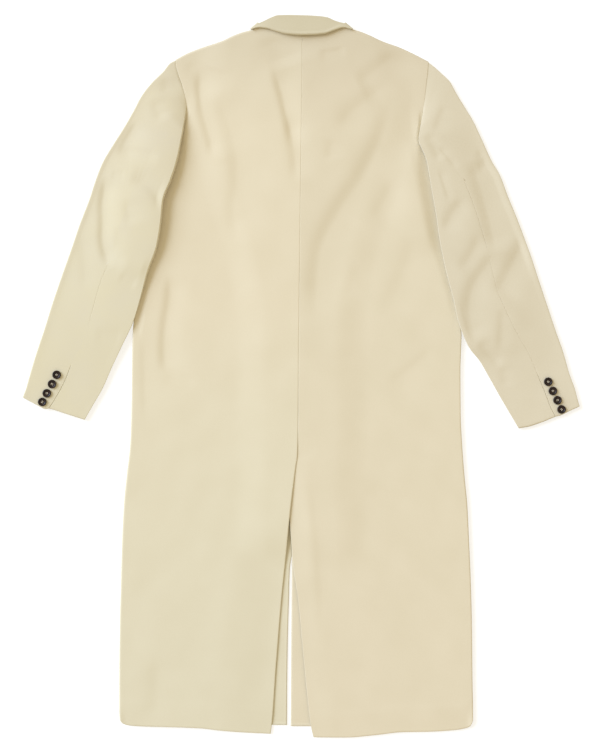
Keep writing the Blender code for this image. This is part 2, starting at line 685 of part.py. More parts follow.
def make_sleeve(side, word, cloth):
    """Both pieces of one sleeve."""
    stations = SLEEVE[side]
    rings = []
    for index, station in enumerate(stations):
        hind_share = station.hind
        if index == UNDERSLEEVE_FIRST:
            whole = topsleeve_section(side, index, 1.0)
            rings.append(blend_sections(rings[-1], whole, HIND_BLEND))
        rings.append(topsleeve_section(side, index, hind_share))
    loft(f"topsleeve_{word}", rings, cloth)
    under = range(UNDERSLEEVE_FIRST, len(stations))
    loft(f"undersleeve_{word}", [undersleeve_section(side, index) for index in under], cloth)


# Buttons

def make_button(name, place, base_z, diameter, height, horn):
    """A turned button with a raised rim round a dished face, lying flat on the cloth."""
    radius = diameter / 2.0
    profile = [
        (0.0, 0.0), (0.78 * radius, 0.0), (radius, 0.42 * height), (0.96 * radius, 0.85 * height),
        (0.84 * radius, height), (0.66 * radius, 0.8 * height), (0.0, 0.66 * height),
    ]
    bm = bmesh.new()
    line = [bm.verts.new((out * MM, 0.0, up * MM)) for out, up in profile]
    edges = [bm.edges.new(pair) for pair in zip(line, line[1:])]
    bmesh.ops.spin(
        bm, geom=line + edges, cent=(0, 0, 0), axis=(0, 0, 1), angle=2.0 * math.pi,
        steps=BUTTON_SEGMENTS,
    )
    bmesh.ops.remove_doubles(bm, verts=bm.verts, dist=0.0001 * radius * MM)
    item = add_object(name, bm, horn)
    item.location = Vector((place.x, place.y, base_z)) * MM
    return item


def main():
    """Clears the scene and builds the coat."""
    for item in list(bpy.data.objects):
        bpy.data.objects.remove(item)
    horn = material("horn", HORN_BROWN, 0.35)
    for side, word in ((-1, "left"), (1, "right")):
        make_back(side, f"back_{word}", material(f"back_{word}", CREAM, 0.9))
        make_front(side, f"front_{word}", material(f"front_{word}", CREAM, 0.9))
        make_lapel(side, f"lapel_{word}", material(f"lapel_{word}", CREAM, 0.9))
        make_sleeve(side, word, material(f"sleeve_{word}", CREAM, 0.9))
        for number, place in enumerate(CUFF_BUTTONS[side], start=1):
            make_button(
                f"cuff_button_{word}_{number}", place, 2.0 * FOLD_RADIUS + SEAM_GAP,
                CUFF_BUTTON_DIAMETER, CUFF_BUTTON_HEIGHT, horn,
            )
    make_collar(material("collar", CREAM, 0.9))
    make_stand(material("collar_stand", CREAM, 0.9))
    for number, y in enumerate(FRONT_BUTTON_Y, start=1):
        make_button(
            f"front_button_{number}", Point(FRONT_BUTTON_X, y), 0.0,
            FRONT_BUTTON_DIAMETER, FRONT_BUTTON_HEIGHT, horn,
        )


main()
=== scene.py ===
"""The looks of a long cream wool overcoat that lies on its front with its sleeves spread.

Lengths in the tables are millimetres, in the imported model's own frame: X from the wearer's left (-)
to the right (+), Y from the hem (-) to the collar (+), and Z up from the surface.
"""

from __future__ import annotations

import logging
import math
from dataclasses import dataclass, field
from enum import Enum
from functools import partial
from typing import Any, Callable, Sequence

import bmesh
import bpy
import numpy as np
from bmesh.types import BMesh
from bpy.types import Material, Node, NodeSocket, NodeTree, Object
from mathutils import Matrix, Vector


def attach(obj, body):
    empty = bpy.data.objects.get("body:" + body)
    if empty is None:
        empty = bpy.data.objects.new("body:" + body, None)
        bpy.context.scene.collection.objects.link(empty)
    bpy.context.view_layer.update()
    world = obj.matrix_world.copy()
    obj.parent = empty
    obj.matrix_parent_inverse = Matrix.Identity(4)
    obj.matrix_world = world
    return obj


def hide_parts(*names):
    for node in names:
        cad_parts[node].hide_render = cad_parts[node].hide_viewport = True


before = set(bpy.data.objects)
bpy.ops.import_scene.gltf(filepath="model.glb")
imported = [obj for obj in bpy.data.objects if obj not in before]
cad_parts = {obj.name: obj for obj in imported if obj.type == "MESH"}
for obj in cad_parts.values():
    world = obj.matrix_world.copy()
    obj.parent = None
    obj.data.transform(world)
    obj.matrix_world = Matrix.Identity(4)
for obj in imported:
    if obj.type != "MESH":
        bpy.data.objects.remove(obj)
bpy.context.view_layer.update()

log = logging.getLogger("coat")

MM = 0.001
Array = np.ndarray
Value = Array | float
Span = tuple[float, float]  # from a start to an end, or one value and another
Table = tuple[Span, ...]  # rows of two columns
Rows = tuple[tuple[float, ...], ...]  # rows of more
Place = Callable[[Array, Array], Array]  # from shares of a grid to X, Y, Z and the flat cut

WALL = 2.2  # the cloth with its backing
FOLD_RADIUS = 3.7  # a side fold's outside radius
UPPER = 2.0 * FOLD_RADIUS  # how high the outside of the upper layer lies
SEAM_RADIUS = 0.9  # how a panel's edge turns into a pressed seam
HEM_RADIUS = 1.8  # how a turned hem or vent edge rounds off
ROUND_TAKES = math.pi / 2.0 - 1.0  # how much more cloth than plan a quarter round takes, in radii
LAPEL_WALL = 3.0  # two layers of cloth
LAPEL_LIFT = 3.3  # how much a lapel raises what lies over it
BUTTON_LIFT = 2.7
BUTTON_GAP = 0.3  # between a button and the cloth
LIGHT_FROM = (-0.89, 0.45)  # the plan direction towards the key light


class Side(Enum):
    """The wearer's left or right, with its sign along X."""

    LEFT = -1
    RIGHT = 1

    @property
    def word(self) -> str:
        """The side's name as it stands in the node names."""
        return self.name.lower()


class Slot(Enum):
    """The record's material slots."""

    BODY = "body_cloth"
    SLEEVE = "sleeve_cloth"
    COLLAR = "collar_cloth"
    HORN = "horn"


def by_side(left: Any, right: Any) -> Any:
    """A dataclass field that holds one value for each side."""
    return field(default_factory=lambda: {Side.LEFT: left, Side.RIGHT: right})


# Shapes by formula


def smooth(share: Value) -> Value:
    """An even rise from 0 to 1.

    Args:
        share: how far along the rise is, clipped to 0 to 1.

    Returns:
        The height of the rise.
    """
    clipped = np.clip(share, 0.0, 1.0)
    return clipped * clipped * (3.0 - 2.0 * clipped)


def rise(value: Value, span: Span) -> Value:
    """An even way from 0 where the value is at the span's start to 1 at its end."""
    return smooth((value - span[0]) / (span[1] - span[0]))


def lerp(start: Value, end: Value, share: Value) -> Value:
    """The value at a share of the way from start to end."""
    return start + (end - start) * share


def gathered(share: Array, weight: float) -> Array:
    """Moves evenly spread shares towards both ends, where the edges need more columns.

    Args:
        share: evenly spread values from 0 to 1.
        weight: 0 leaves them even and 1 gathers them most.

    Returns:
        The moved shares.
    """
    return lerp(share, 0.5 - 0.5 * np.cos(np.pi * share), weight)


def turn_in(arc: Array, radius: Value) -> tuple[Array, Array]:
    """Where cloth lies that turns down through a quarter round at its edge.

    Args:
        arc: distance from the edge along the cloth.
        radius: the round's radius.

    Returns:
        The distance from the edge in plan, and how far the cloth has dropped.
    """
    angle = np.clip(arc / radius, 0.0, np.pi / 2.0)
    past = np.maximum(arc - radius * np.pi / 2.0, 0.0)
    return radius * (1.0 - np.cos(angle)) + past, radius * (1.0 - np.sin(angle))


@dataclass(frozen=True)
class Track:
    """A smooth line through the rows of a table, read at any value of its first column."""

    rows: Rows
    value: int = 1

    def at(self, where: Value) -> Value:
        """Reads the line, which never passes the rows beside a place.

        Args:
            where: values of the first column.

        Returns:
            The other column there, level past the table's ends.
        """
        rows = np.array(sorted(self.rows))
        keys, values = rows[:, 0], rows[:, self.value]
        spans = np.diff(keys)
        rises = np.diff(values) / spans
        before, after = rises[:-1], rises[1:]
        weight_before = 2.0 * spans[1:] + spans[:-1]
        weight_after = spans[1:] + 2.0 * spans[:-1]
        with np.errstate(divide="ignore", invalid="ignore"):
            mean = (weight_before + weight_after) / (weight_before / before + weight_after / after)
        inside = np.where(before * after > 0.0, mean, 0.0)
        slopes = np.concatenate([rises[:1], inside, rises[-1:]])
        index = np.clip(np.searchsorted(keys, where) - 1, 0, len(keys) - 2)
        t = np.clip((where - keys[index]) / spans[index], 0.0, 1.0)
        start = values[index] * (1.0 + 2.0 * t) * (1.0 - t) ** 2
        end = values[index + 1] * t * t * (3.0 - 2.0 * t)
        leave = spans[index] * slopes[index] * t * (1.0 - t) ** 2
        arrive = spans[index] * slopes[index + 1] * t * t * (t - 1.0)
        return start + end + leave + arrive


def rounded_line(line: Table, cuts: int = 2) -> Array:
    """Cuts the corners of a line, so that it curves.

    Args:
        line: X and Y of its places.
        cuts: how many times.

    Returns:
        The places of the curved line.
    """
    places = np.array(line, dtype=float)
    for _ in range(cuts):
        quarter = lerp(places[:-1], places[1:], 0.25)
        three_quarters = lerp(places[:-1], places[1:], 0.75)
        inner = np.stack([quarter, three_quarters], axis=1).reshape(-1, 2)
        places = np.vstack([places[:1], inner, places[-1:]])
    return places


@dataclass(frozen=True)
class Crease:
    """A soft fold: a ridge where its height is above 0, else a trough.

    Its line runs along the wall that the key light leaves in shade, and its crest or bottom lies
    beside that. The two widths say how fast the shaded and the lit wall run out.
    """

    line: Table
    height: float
    shaded: float
    lit: float
    fade: float = 0.3
    aside: float = 0.7  # how far beside its line the crest lies, in shaded widths
    past_end: float = 2.0  # over how many of them the fold runs out past its ends
    blunt: float = 0.02  # how far it has faded in at its very ends, as a share of its length

    def at(self, x: Array, y: Array) -> Array:
        """The fold's height over each place.

        Args:
            x: the places' X.
            y: the places' Y.

        Returns:
            Heights in millimetres, near 0 away from the fold.
        """
        ends = rounded_line(self.line)
        chord = ends[-1] - ends[0]
        lit_side = np.sign(-chord[1] * LIGHT_FROM[0] + chord[0] * LIGHT_FROM[1])
        runs = np.diff(ends, axis=0)
        steps = np.hypot(*runs.T)
        reached = np.concatenate([[0.0], np.cumsum(steps)])
        # A row for each step of the line and a column for each place
        run_x, run_y = (runs / steps[:, None]).T[:, :, None]
        from_x, from_y = x - ends[:-1, :1], y - ends[:-1, 1:]
        forward = from_x * run_x + from_y * run_y
        off = from_y * run_x - from_x * run_y
        gone = np.clip(forward, 0.0, steps[:, None])
        distance = np.hypot(off, forward - gone)
        # Each place's values beside the step that is nearest to it
        index = np.argmin(distance, axis=0)
        nearest = (index, np.arange(len(x)))
        off, distance, beyond = off[nearest], distance[nearest], (forward - gone)[nearest]
        along = reached[index] + gone[nearest]
        at_end = ((beyond < 0.0) & (index == 0)) | ((beyond > 0.0) & (index == len(steps) - 1))
        across = lit_side * np.where(at_end, off, np.sign(off) * distance)
        past = np.where(at_end, np.abs(beyond), 0.0)
        hollow = 1.0 if self.height < 0.0 else -1.0
        away = across + hollow * self.aside * self.shaded
        width = np.where(hollow * away > 0.0, self.shaded, self.lit)
        share = along / reached[-1]
        fading = smooth((np.minimum(share, 1.0 - share) + self.blunt) / self.fade)
        fading = fading * np.exp(-((past / (self.past_end * self.shaded)) ** 2))
        return self.height * fading * np.exp(-((away / width) ** 2))


@dataclass(frozen=True)
class Relief:
    """The folds of one stretch of cloth, with the slight unevenness that lies between them."""

    creases: tuple[Crease, ...]
    unevenness: float = 0.12
    # The waves' lengths along X and Y, and how far each is shifted from the last, in radians
    waves: Table = ((97, 141), (-163, 88), (59, -211), (-73, -67))
    shift: float = 1.7

    def at(self, x: Array, y: Array) -> Array:
        """The height of all folds over each place.

        Args:
            x: the places' X.
            y: the places' Y.

        Returns:
            Heights in millimetres.
        """
        height = sum(crease.at(x, y) for crease in self.creases)
        for index, (wave_x, wave_y) in enumerate(self.waves):
            phase = 2.0 * np.pi * (x / wave_x + y / wave_y) + self.shift * index
            height = height + self.unevenness * 0.5 * np.sin(phase)
        return height


# Tables of the coat's outlines, from the top down: Y and X of lines that run down the coat, and X
# and Y of those that run across it

SHOULDER: dict[Side, Table] = {
    Side.LEFT: ((2, 602), (-37, 604), (-73, 610), (-87, 601), (-103, 596.5), (-120, 590),
                (-137, 582), (-171, 571), (-198, 560.5), (-218, 550)),
    Side.RIGHT: ((2, 602), (40, 604), (73, 610), (90, 602), (106, 597), (118, 592), (141, 581.5),
                 (171, 571), (191, 562), (222, 546)),
}
BODY_SIDE: dict[Side, Table] = {
    Side.LEFT: ((550, -218), (534, -216.5), (517, -211.5), (502, -206), (483, -201.5),
                (466, -200), (451, -201), (437, -207), (423, -215), (407, -220), (390, -223),
                (365, -228), (338, -237), (303, -249), (264, -252), (224, -259), (183, -273),
                (145, -283), (94, -291), (63, -293), (10, -294), (-68, -295), (-120, -297),
                (-172, -303), (-224, -308), (-285, -311), (-355, -313), (-433, -315),
                (-529, -316), (-580, -316), (-597, -315)),
    Side.RIGHT: ((546, 222), (522, 220), (503, 217.5), (478, 215), (462, 213), (448, 211.6),
                 (437, 212.4), (426, 214), (409, 217), (393, 223), (376, 228), (345, 234),
                 (315, 239), (282, 244), (245, 249), (207, 256), (172, 264), (134, 272),
                 (97, 277), (68, 279), (54, 278.5), (10, 277), (-68, 277.5), (-120, 280),
                 (-172, 284), (-224, 289), (-285, 292), (-355, 295), (-433, 297), (-529, 298),
                 (-585, 299), (-597, 299)),
}
CENTRE_SEAM: Table = ((602, 2), (576, 2), (393, 0), (219, -2), (45, -4), (-132, -6))
VENT_EDGE: dict[Side, Table] = {
    Side.LEFT: ((-163, -10), (-211, -16), (-247, -20), (-310, -26), (-388, -34), (-512, -44),
                (-607, -51), (-622, -53)),
    Side.RIGHT: ((-150, -24), (-172, -26), (-211, -24), (-247, -20), (-285, -17), (-334, -13),
                 (-388, -5), (-494, 5), (-611, 18), (-628, 22)),
}
HEM: dict[Side, Table] = {
    Side.LEFT: ((-315, -597), (-311, -603), (-300, -607), (-270, -609), (-228, -610),
                (-176, -612), (-141, -616), (-106, -619), (-53, -622)),
    Side.RIGHT: ((22, -628), (77, -628), (137, -623), (172, -619), (224, -618), (259, -616),
                 (288, -611.5), (296, -606), (299, -597)),
}
FRONT_EDGE: dict[Side, Table] = {
    Side.LEFT: ((608, -75), (576, -68), (508, -50), (341, -35), (89, -16), (-312, -15.8),
                (-328, -19), (-390, -21), (-459, -23), (-530, -24), (-607, -24.5)),
    Side.RIGHT: ((608, 75), (576, 68), (508, 50), (341, 35), (89, -16), (-325, -16),
                 (-390, -16.5), (-459, -17), (-530, -17.5), (-609, -18)),
}
FRONT_HEM: dict[Side, Table] = {
    Side.LEFT: ((-315, -597), (-306, -603), (-280, -606), (-24, -607)),
    Side.RIGHT: ((-18, -609), (260, -609), (290, -605), (299, -597)),
}
# How far from the middle lapels and buttons lie under the back, by Y
LIFTED_REACH: Table = ((615, 92), (567, 119), (500, 127), (466, 143), (393, 127), (306, 102),
                       (211, 71), (96, 52), (-700, 52))
# How far a sleeve presses the back down beside it, by Y: over what width, and how deep
VALLEY: dict[Side, Rows] = {
    Side.LEFT: (
        (700, 4, 0), (485, 5, 0), (440, 9, 1.4), (400, 18, 2.0), (340, 34, 2.2), (240, 36, 2.2),
        (190, 26, 1.8), (140, 14, 1.6), (95, 10, 1.5), (60, 8, 0), (-700, 8, 0),
    ),
    Side.RIGHT: (
        (700, 4, 0), (466, 5, 0), (446, 6, 1.6), (428, 8, 2.8), (405, 12, 3.1), (380, 20, 3.0),
        (330, 27, 2.9), (250, 24, 2.6), (190, 16, 1.6), (110, 9, 0.5), (60, 8, 0), (-700, 8, 0),
    ),
}
# How far the hem sinks towards its edge, by X
HEM_SINKS: Table = (
    (-320, 1.4), (-270, 1.2), (-220, 0.4), (-60, 0.5), (30, 0.7), (120, 1.0), (220, 1.3),
    (300, 1.8),
)


# Making meshes


@dataclass
class Sheet:
    """A stretch of cloth made from one grid, whose own UV map is its flat cut in metres."""

    name: str
    columns: int
    rows: int
    place: Place
    turned_over: bool = False
    wall: float = WALL
    closed: bool = False

    def build(self) -> Object:
        """Makes the grid, lays it out and gives it the cloth's thickness inwards.

        Returns:
            The finished object, at the origin.
        """
        bm = bmesh.new()
        flat_map = bm.loops.layers.uv.new("flat")
        bmesh.ops.create_grid(bm, x_segments=self.columns, y_segments=self.rows, size=0.5)
        bm.verts.index_update()
        u = np.array([vert.co.x + 0.5 for vert in bm.verts])
        v = np.array([0.5 - vert.co.y for vert in bm.verts])
        laid = self.place(u, v) * MM
        for face in bm.faces:
            for loop in face.loops:
                loop[flat_map].uv = laid[loop.vert.index, 3:5]
        for vert, spot in zip(bm.verts, laid):
            vert.co = spot[:3]
        if self.closed:
            bmesh.ops.remove_doubles(bm, verts=bm.verts, dist=0.02 * MM)
            rim = [edge for edge in bm.edges if edge.is_boundary]
            bmesh.ops.holes_fill(bm, edges=rim, sides=0)
            bmesh.ops.recalc_face_normals(bm, faces=bm.faces)
            return add_object(self.name, bm)
        if self.turned_over:
            bmesh.ops.reverse_faces(bm, faces=bm.faces)
        thing = add_object(self.name, bm)
        wall = thing.modifiers.new("wall", "SOLIDIFY")
        wall.thickness = self.wall * MM
        wall.offset = -1.0
        return thing


def add_object(name: str, bm: BMesh) -> Object:
    """Puts a bmesh into the scene as a smooth object at the origin.

    Args:
        name: the object's name.
        bm: its mesh, which is freed here.

    Returns:
        The new object.
    """
    mesh = bpy.data.meshes.new(name)
    bm.to_mesh(mesh)
    bm.free()
    mesh.shade_smooth()
    thing = bpy.data.objects.new(name, mesh)
    bpy.context.scene.collection.objects.link(thing)
    return thing


def stand_for(thing: Object, node: str, slot: Slot, material: Material) -> None:
    """Dresses a piece, lets it ride on the coat and stand for the node that it replaces.

    Args:
        thing: the piece.
        node: the node's name.
        slot: the material slot that it would fill; not used.
        material: what it is made of.
    """
    thing.data.materials.append(material)
    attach(thing, "root")
    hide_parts(node)
    log.info("%s: %d faces", thing.name, len(thing.data.polygons))


# Finishes


def linear(hex_colour: str) -> tuple[float, float, float, float]:
    """An sRGB hex colour as linear light.

    Args:
        hex_colour: six hex digits after a hash sign.

    Returns:
        Red, green, blue and an alpha of 1.
    """
    channels = [int(hex_colour[place : place + 2], 16) / 255.0 for place in (1, 3, 5)]
    light = [c / 12.92 if c <= 0.04045 else ((c + 0.055) / 1.055) ** 2.4 for c in channels]
    return (light[0], light[1], light[2], 1.0)


def add_node(tree: NodeTree, kind: str, settings: dict | None = None, **links: Any) -> Node:
    """Adds a node with its settings and what goes into its inputs.

    Args:
        tree: the material's node tree.
        kind: the node's type name.
        settings: attributes to set on the node.
        **links: an input's name, with _ for a space, and an output socket or a constant.

    Returns:
        The new node.
    """
    node = tree.nodes.new(kind)
    for attribute, setting in (settings or {}).items():
        setattr(node, attribute, setting)
    for name, source in links.items():
        socket = node.inputs[name.replace("_", " ")]
        if isinstance(source, NodeSocket):
            tree.links.new(source, socket)
        else:
            socket.default_value = source
    return node


def new_material(name: str, **looks: Any) -> tuple[Material, NodeTree, Node]:
    """A new material with the inputs of its shader that stay constant.

    Args:
        name: the finish's name.
        **looks: an input's name, with _ for a space, and its constant.

    Returns:
        The material, its node tree and its shader.
    """
    made = bpy.data.materials.new(name)
    made.use_nodes = True
    shader = made.node_tree.nodes["Principled BSDF"]
    for label, look in looks.items():
        shader.inputs[label.replace("_", " ")].default_value = look
    return made, made.node_tree, shader


@dataclass(frozen=True)
class WoolCoating:
    """Felted wool coating, woven, milled and raised with brushes: matt, with a fine short nap that
    blurs it.
    """

    name: str
    light: str
    shade: str
    tuft: float = 2.6  # mm, drawn coarser than the real half millimetre so that it shows
    cloud: float = 70.0  # mm, the soft patches where the nap lies another way
    relief: float = 0.25  # mm
    sheen: float = 0.25
    # How much each pattern shades the cloth, and the noise values between which it does
    cloud_shades: float = 0.35
    cloud_range: Span = (0.3, 0.7)
    tuft_shades: float = 0.45
    tuft_range: Span = (0.25, 0.75)
    # Painted shade of the light's falloff: how light and how cool the cloth is painted at shares of
    # the coat's length from the hem
    painted_falloff: Rows = ((0.0, 1.0, 0.0), (1.0, 1.0, 0.0))
    half_length: float = 0.63  # m
    cool_blue: float = 1.1  # how much more than green a cool stretch of that painted shade gains in blue

    def build(self) -> Material:
        """Makes the cloth's material.

        Returns:
            The material, shaded by its nap's patches and by painted shade along the coat's length.
        """
        made, tree, shader = new_material(
            self.name, Roughness=0.92, Specular_IOR_Level=0.2, Sheen_Weight=self.sheen,
            Sheen_Roughness=0.5,
        )
        flat = add_node(tree, "ShaderNodeTexCoord").outputs["UV"]
        cloud = add_node(
            tree, "ShaderNodeTexNoise", Vector=flat, Scale=1.0 / (self.cloud * MM), Detail=2.0,
        )
        tuft = add_node(
            tree, "ShaderNodeTexNoise", Vector=flat, Scale=1.0 / (self.tuft * MM), Detail=4.0,
            Roughness=0.62,
        )
        both = add_node(tree, "ShaderNodeMath", {"operation": "ADD"})
        patterns = (
            (cloud, self.cloud_range, self.cloud_shades), (tuft, self.tuft_range, self.tuft_shades),
        )
        for index, (noise, (least, most), shades) in enumerate(patterns):
            shading = add_node(
                tree, "ShaderNodeMapRange", Value=noise.outputs["Fac"], From_Min=least,
                From_Max=most, To_Min=0.0, To_Max=shades,
            )
            tree.links.new(shading.outputs["Result"], both.inputs[index])
        colour = add_node(
            tree, "ShaderNodeMix", {"data_type": "RGBA"}, Factor=both.outputs["Value"],
        )
        colour.inputs[6].default_value = linear(self.light)
        colour.inputs[7].default_value = linear(self.shade)
        # Painted shade: the light's falloff along the coat, read by Y and multiplied into the colour
        spot = add_node(tree, "ShaderNodeTexCoord").outputs["Object"]
        axes = add_node(tree, "ShaderNodeSeparateXYZ", Vector=spot)
        length = add_node(
            tree, "ShaderNodeMapRange", Value=axes.outputs["Y"], From_Min=-self.half_length,
            From_Max=self.half_length,
        )
        painted_falloff_ramp = add_node(tree, "ShaderNodeValToRGB", Fac=length.outputs["Result"])
        for place, _, _ in self.painted_falloff[1:-1]:
            painted_falloff_ramp.color_ramp.elements.new(place)
        for stop, (place, light, cool) in zip(painted_falloff_ramp.color_ramp.elements, self.painted_falloff):
            stop.position = place
            blue = light * (1.0 + self.cool_blue * cool)
            stop.color = (light, light * (1.0 + cool), blue, 1.0)
        laid = add_node(tree, "ShaderNodeMix", {"data_type": "RGBA", "blend_type": "MULTIPLY"})
        laid.inputs[0].default_value = 1.0
        tree.links.new(colour.outputs[2], laid.inputs[6])
        tree.links.new(painted_falloff_ramp.outputs["Color"], laid.inputs[7])
        tree.links.new(laid.outputs[2], shader.inputs["Base Color"])
        bump = add_node(
            tree, "ShaderNodeBump", Height=tuft.outputs["Fac"], Strength=0.6,
            Distance=self.relief * MM,
        )
        tree.links.new(bump.outputs["Normal"], shader.inputs["Normal"])
        return made


@dataclass(frozen=True)
class Horn:
    """Buffalo horn, cut, drilled and polished: nearly black brown with paler streaks."""

    name: str = "polished_horn"
    dark: str = "#130805"
    streak: str = "#382118"
    streak_size: float = 4.0  # mm
    dark_until: float = 0.45  # noise values between which the streaks show
    streak_from: float = 0.8

    def build(self) -> Material:
        """Makes the buttons' material.

        Returns:
            The material, with its streaks.
        """
        made, tree, shader = new_material(
            self.name, Roughness=0.42, IOR=1.54, Specular_IOR_Level=0.25
        )
        spot = add_node(tree, "ShaderNodeTexCoord").outputs["Object"]
        streaks = add_node(
            tree, "ShaderNodeTexNoise", Vector=spot, Scale=1.0 / (self.streak_size * MM),
            Detail=3.0, Distortion=1.2,
        )
        ramp = add_node(tree, "ShaderNodeValToRGB", Fac=streaks.outputs["Fac"])
        stops = ((self.dark_until, self.dark), (self.streak_from, self.streak))
        for stop, (place, colour) in zip(ramp.color_ramp.elements, stops):
            stop.position = place
            stop.color = linear(colour)
        tree.links.new(ramp.outputs["Color"], shader.inputs["Base Color"])
        return made


@dataclass(frozen=True)
class Thread:
    """Cream polyester button thread, twisted: slightly shiny."""

    name: str = "cream_thread"
    colour: str = "#e2d8bd"
    twist: float = 0.9  # mm
    relief: float = 0.1  # mm

    def build(self) -> Material:
        """Makes the thread's material.

        Returns:
            The material, with the twist in relief.
        """
        made, tree, shader = new_material(
            self.name, Base_Color=linear(self.colour), Roughness=0.6
        )
        spot = add_node(tree, "ShaderNodeTexCoord").outputs["Object"]
        twist = add_node(
            tree, "ShaderNodeTexWave", {"bands_direction": "DIAGONAL"}, Vector=spot,
            Scale=1.0 / (self.twist * MM),
        )
        bump = add_node(
            tree, "ShaderNodeBump", Height=twist.outputs["Fac"], Strength=0.5,
            Distance=self.relief * MM,
        )
        tree.links.new(bump.outputs["Normal"], shader.inputs["Normal"])
        return made


# Sub-assemblies


@dataclass
class Body:
    """The two backs and the two fronts beneath them."""

    cloth: dict[Side, Material]
    back_grid: tuple[int, int] = (84, 340)
    front_grid: tuple[int, int] = (44, 130)
    edge_gather: float = 0.6  # how much rows and columns gather at the edges
    neck_round: float = 0.6  # how the neck seam's edge turns in
    neck: Span = (74.0, 80.0)  # X over which that seam becomes the shoulder's fold
    # Y over which the armhole seam becomes the side fold, and the centre seam the vent's edge
    underarm: Span = (335.0, 290.0)
    vent: Span = (-120.0, -180.0)
    # How deep the edges of centre seam, vent and armhole lie, in shares of a free edge's round
    seam_depth: dict[Side, float] = by_side(0.25, 0.08)
    vent_depth: dict[Side, float] = by_side(0.4, -0.3)
    armhole_depth: dict[Side, float] = by_side(0.35, 0.6)
    # How much closer to the edge each side fold rounds off
    crisp: dict[Side, float] = by_side(0.4, 0.65)
    # How far from the side a sleeve covers the body, lower down and at the armhole, and the Y
    # over which that changes
    covered: Span = (9.0, 2.5)
    covered_from: Span = (405.0, 445.0)
    # Lapels and buttons raise what lies over them: how far past their edge that runs out, and the
    # Y over which the lapels' and the button line's share begins, for backs and for fronts
    back_runs_out: Span = (65.0, 5.0)
    back_lapels: Span = (-40.0, 58.0)
    back_buttons: Span = (-340.0, -280.0)
    front_runs_out: Span = (34.0, 4.0)
    front_lapels: Span = (10.0, 55.0)
    front_buttons: Span = (-330.0, -270.0)
    # How far the vent's edges sink on to what lies beneath, the Y over which they begin to, the
    # width that sinks, the share of it that is lost again lower down, and the Y over which it is
    sag: float = 2.9
    sag_begins: dict[Side, Span] = by_side((-245.0, -320.0), (-70.0, -220.0))
    sag_reach: dict[Side, float] = by_side(100.0, 44.0)
    sag_loss: dict[Side, float] = by_side(0.0, 0.6)
    sag_lost: Span = (-290.0, -380.0)
    # The turned-up hem shows as a slight band: its step, and the heights above the hem's edge over
    # which the step ends and the sinking does
    hem_step: float = 0.25
    hem_ends: Span = (52.0, 38.0)
    hem_sinks: Span = (44.0, 0.0)
    # The distances from side and top over which the creases begin, and from the side for the hem
    calm_side: Span = (3.0, 25.0)
    calm_top: Span = (5.0, 30.0)
    band_side: Span = (0.0, 12.0)
    folds: Relief = field(default_factory=lambda: Relief(BACK_FOLDS))

    def plan(
        self, side: Side, inner: Table, hem: Table, u: Array, v: Array
    ) -> tuple[Array, ...]:
        """Lays a panel's grid out in plan.

        Args:
            side: which half of the coat.
            inner: the panel's inner edge, as rows of Y and X.
            hem: its hem, as rows of X and Y.
            u: shares from the inner edge to the side.
            v: shares from the top to the hem.

        Returns:
            X, Y, how far the cloth has turned in, the distances to the side and the top, and
            the place on the flat cut.
        """
        sign = side.value
        columns = gathered(u, self.edge_gather)
        rows = gathered(v, self.edge_gather)
        outer = BODY_SIDE[side]
        side_y = lerp(outer[0][0], outer[-1][0], rows)
        side_x = Track(outer).at(side_y)
        inner_x = Track(inner).at(lerp(inner[0][0], inner[-1][0], rows))
        width = np.abs(side_x - inner_x)
        turning = rise(side_y, self.underarm)
        flattened = 0.5 * self.pressed(side, side_y, np.zeros_like(side_y))
        side_radius = lerp(SEAM_RADIUS, FOLD_RADIUS - flattened, turning)
        around = width + (side_radius + SEAM_RADIUS) * ROUND_TAKES
        in_plan, in_drop = turn_in(around * columns, SEAM_RADIUS)
        out_plan, out_drop = turn_in(around * (1.0 - columns), side_radius)
        out_plan = out_plan - self.crisp[side] * np.minimum(out_plan, side_radius)
        out_drop = out_drop * lerp(self.armhole_depth[side], 1.0, turning)
        opened = rise(side_y, self.vent)
        in_drop = in_drop * lerp(self.seam_depth[side], self.vent_depth[side], opened)
        x = np.where(columns < 0.5, inner_x + sign * in_plan, side_x - sign * out_plan)
        share = np.abs(x - inner_x) / width
        top = Track(SHOULDER[side]).at(lerp(inner[0][1], outer[0][1], share))
        bottom = Track(hem).at(lerp(inner[-1][1], outer[-1][1], share))
        top_radius = lerp(self.neck_round, FOLD_RADIUS, rise(np.abs(x), self.neck))
        down = top - bottom + (top_radius + HEM_RADIUS) * ROUND_TAKES
        top_plan, top_drop = turn_in(down * rows, top_radius)
        hem_plan, hem_drop = turn_in(down * (1.0 - rows), HEM_RADIUS)
        y = np.where(rows < 0.5, top - top_plan, bottom + hem_plan)
        drop = np.maximum(np.maximum(in_drop, out_drop), np.maximum(top_drop, hem_drop))
        return x, y, drop, out_plan, top_plan, around * columns, down * rows

    def pressed(self, side: Side, y: Array, to_side: Array) -> Array:
        """How far the sleeve that laps over the body's side presses it down."""
        past = to_side - lerp(*self.covered, rise(y, self.covered_from))
        return Track(VALLEY[side], value=2).at(y) * smooth(1.0 - past / Track(VALLEY[side]).at(y))

    def raised(self, x: Array, y: Array) -> Array:
        """How much the lapels and the button line under the fronts raise the back."""
        under = rise(np.abs(x) - Track(LIFTED_REACH).at(y), self.back_runs_out)
        lapels, buttons = rise(y, self.back_lapels), rise(y, self.back_buttons)
        return under * np.maximum(LAPEL_LIFT * lapels, BUTTON_LIFT * buttons)

    def sunk_at_vent(self, side: Side, x: Array, y: Array) -> Array:
        """How far a back sinks towards its vent edge."""
        to_edge = side.value * (x - Track(CENTRE_SEAM + VENT_EDGE[side]).at(y))
        share = rise(y, self.sag_begins[side]) - self.sag_loss[side] * rise(y, self.sag_lost)
        return self.sag * share * rise(to_edge, (self.sag_reach[side], 0.0))

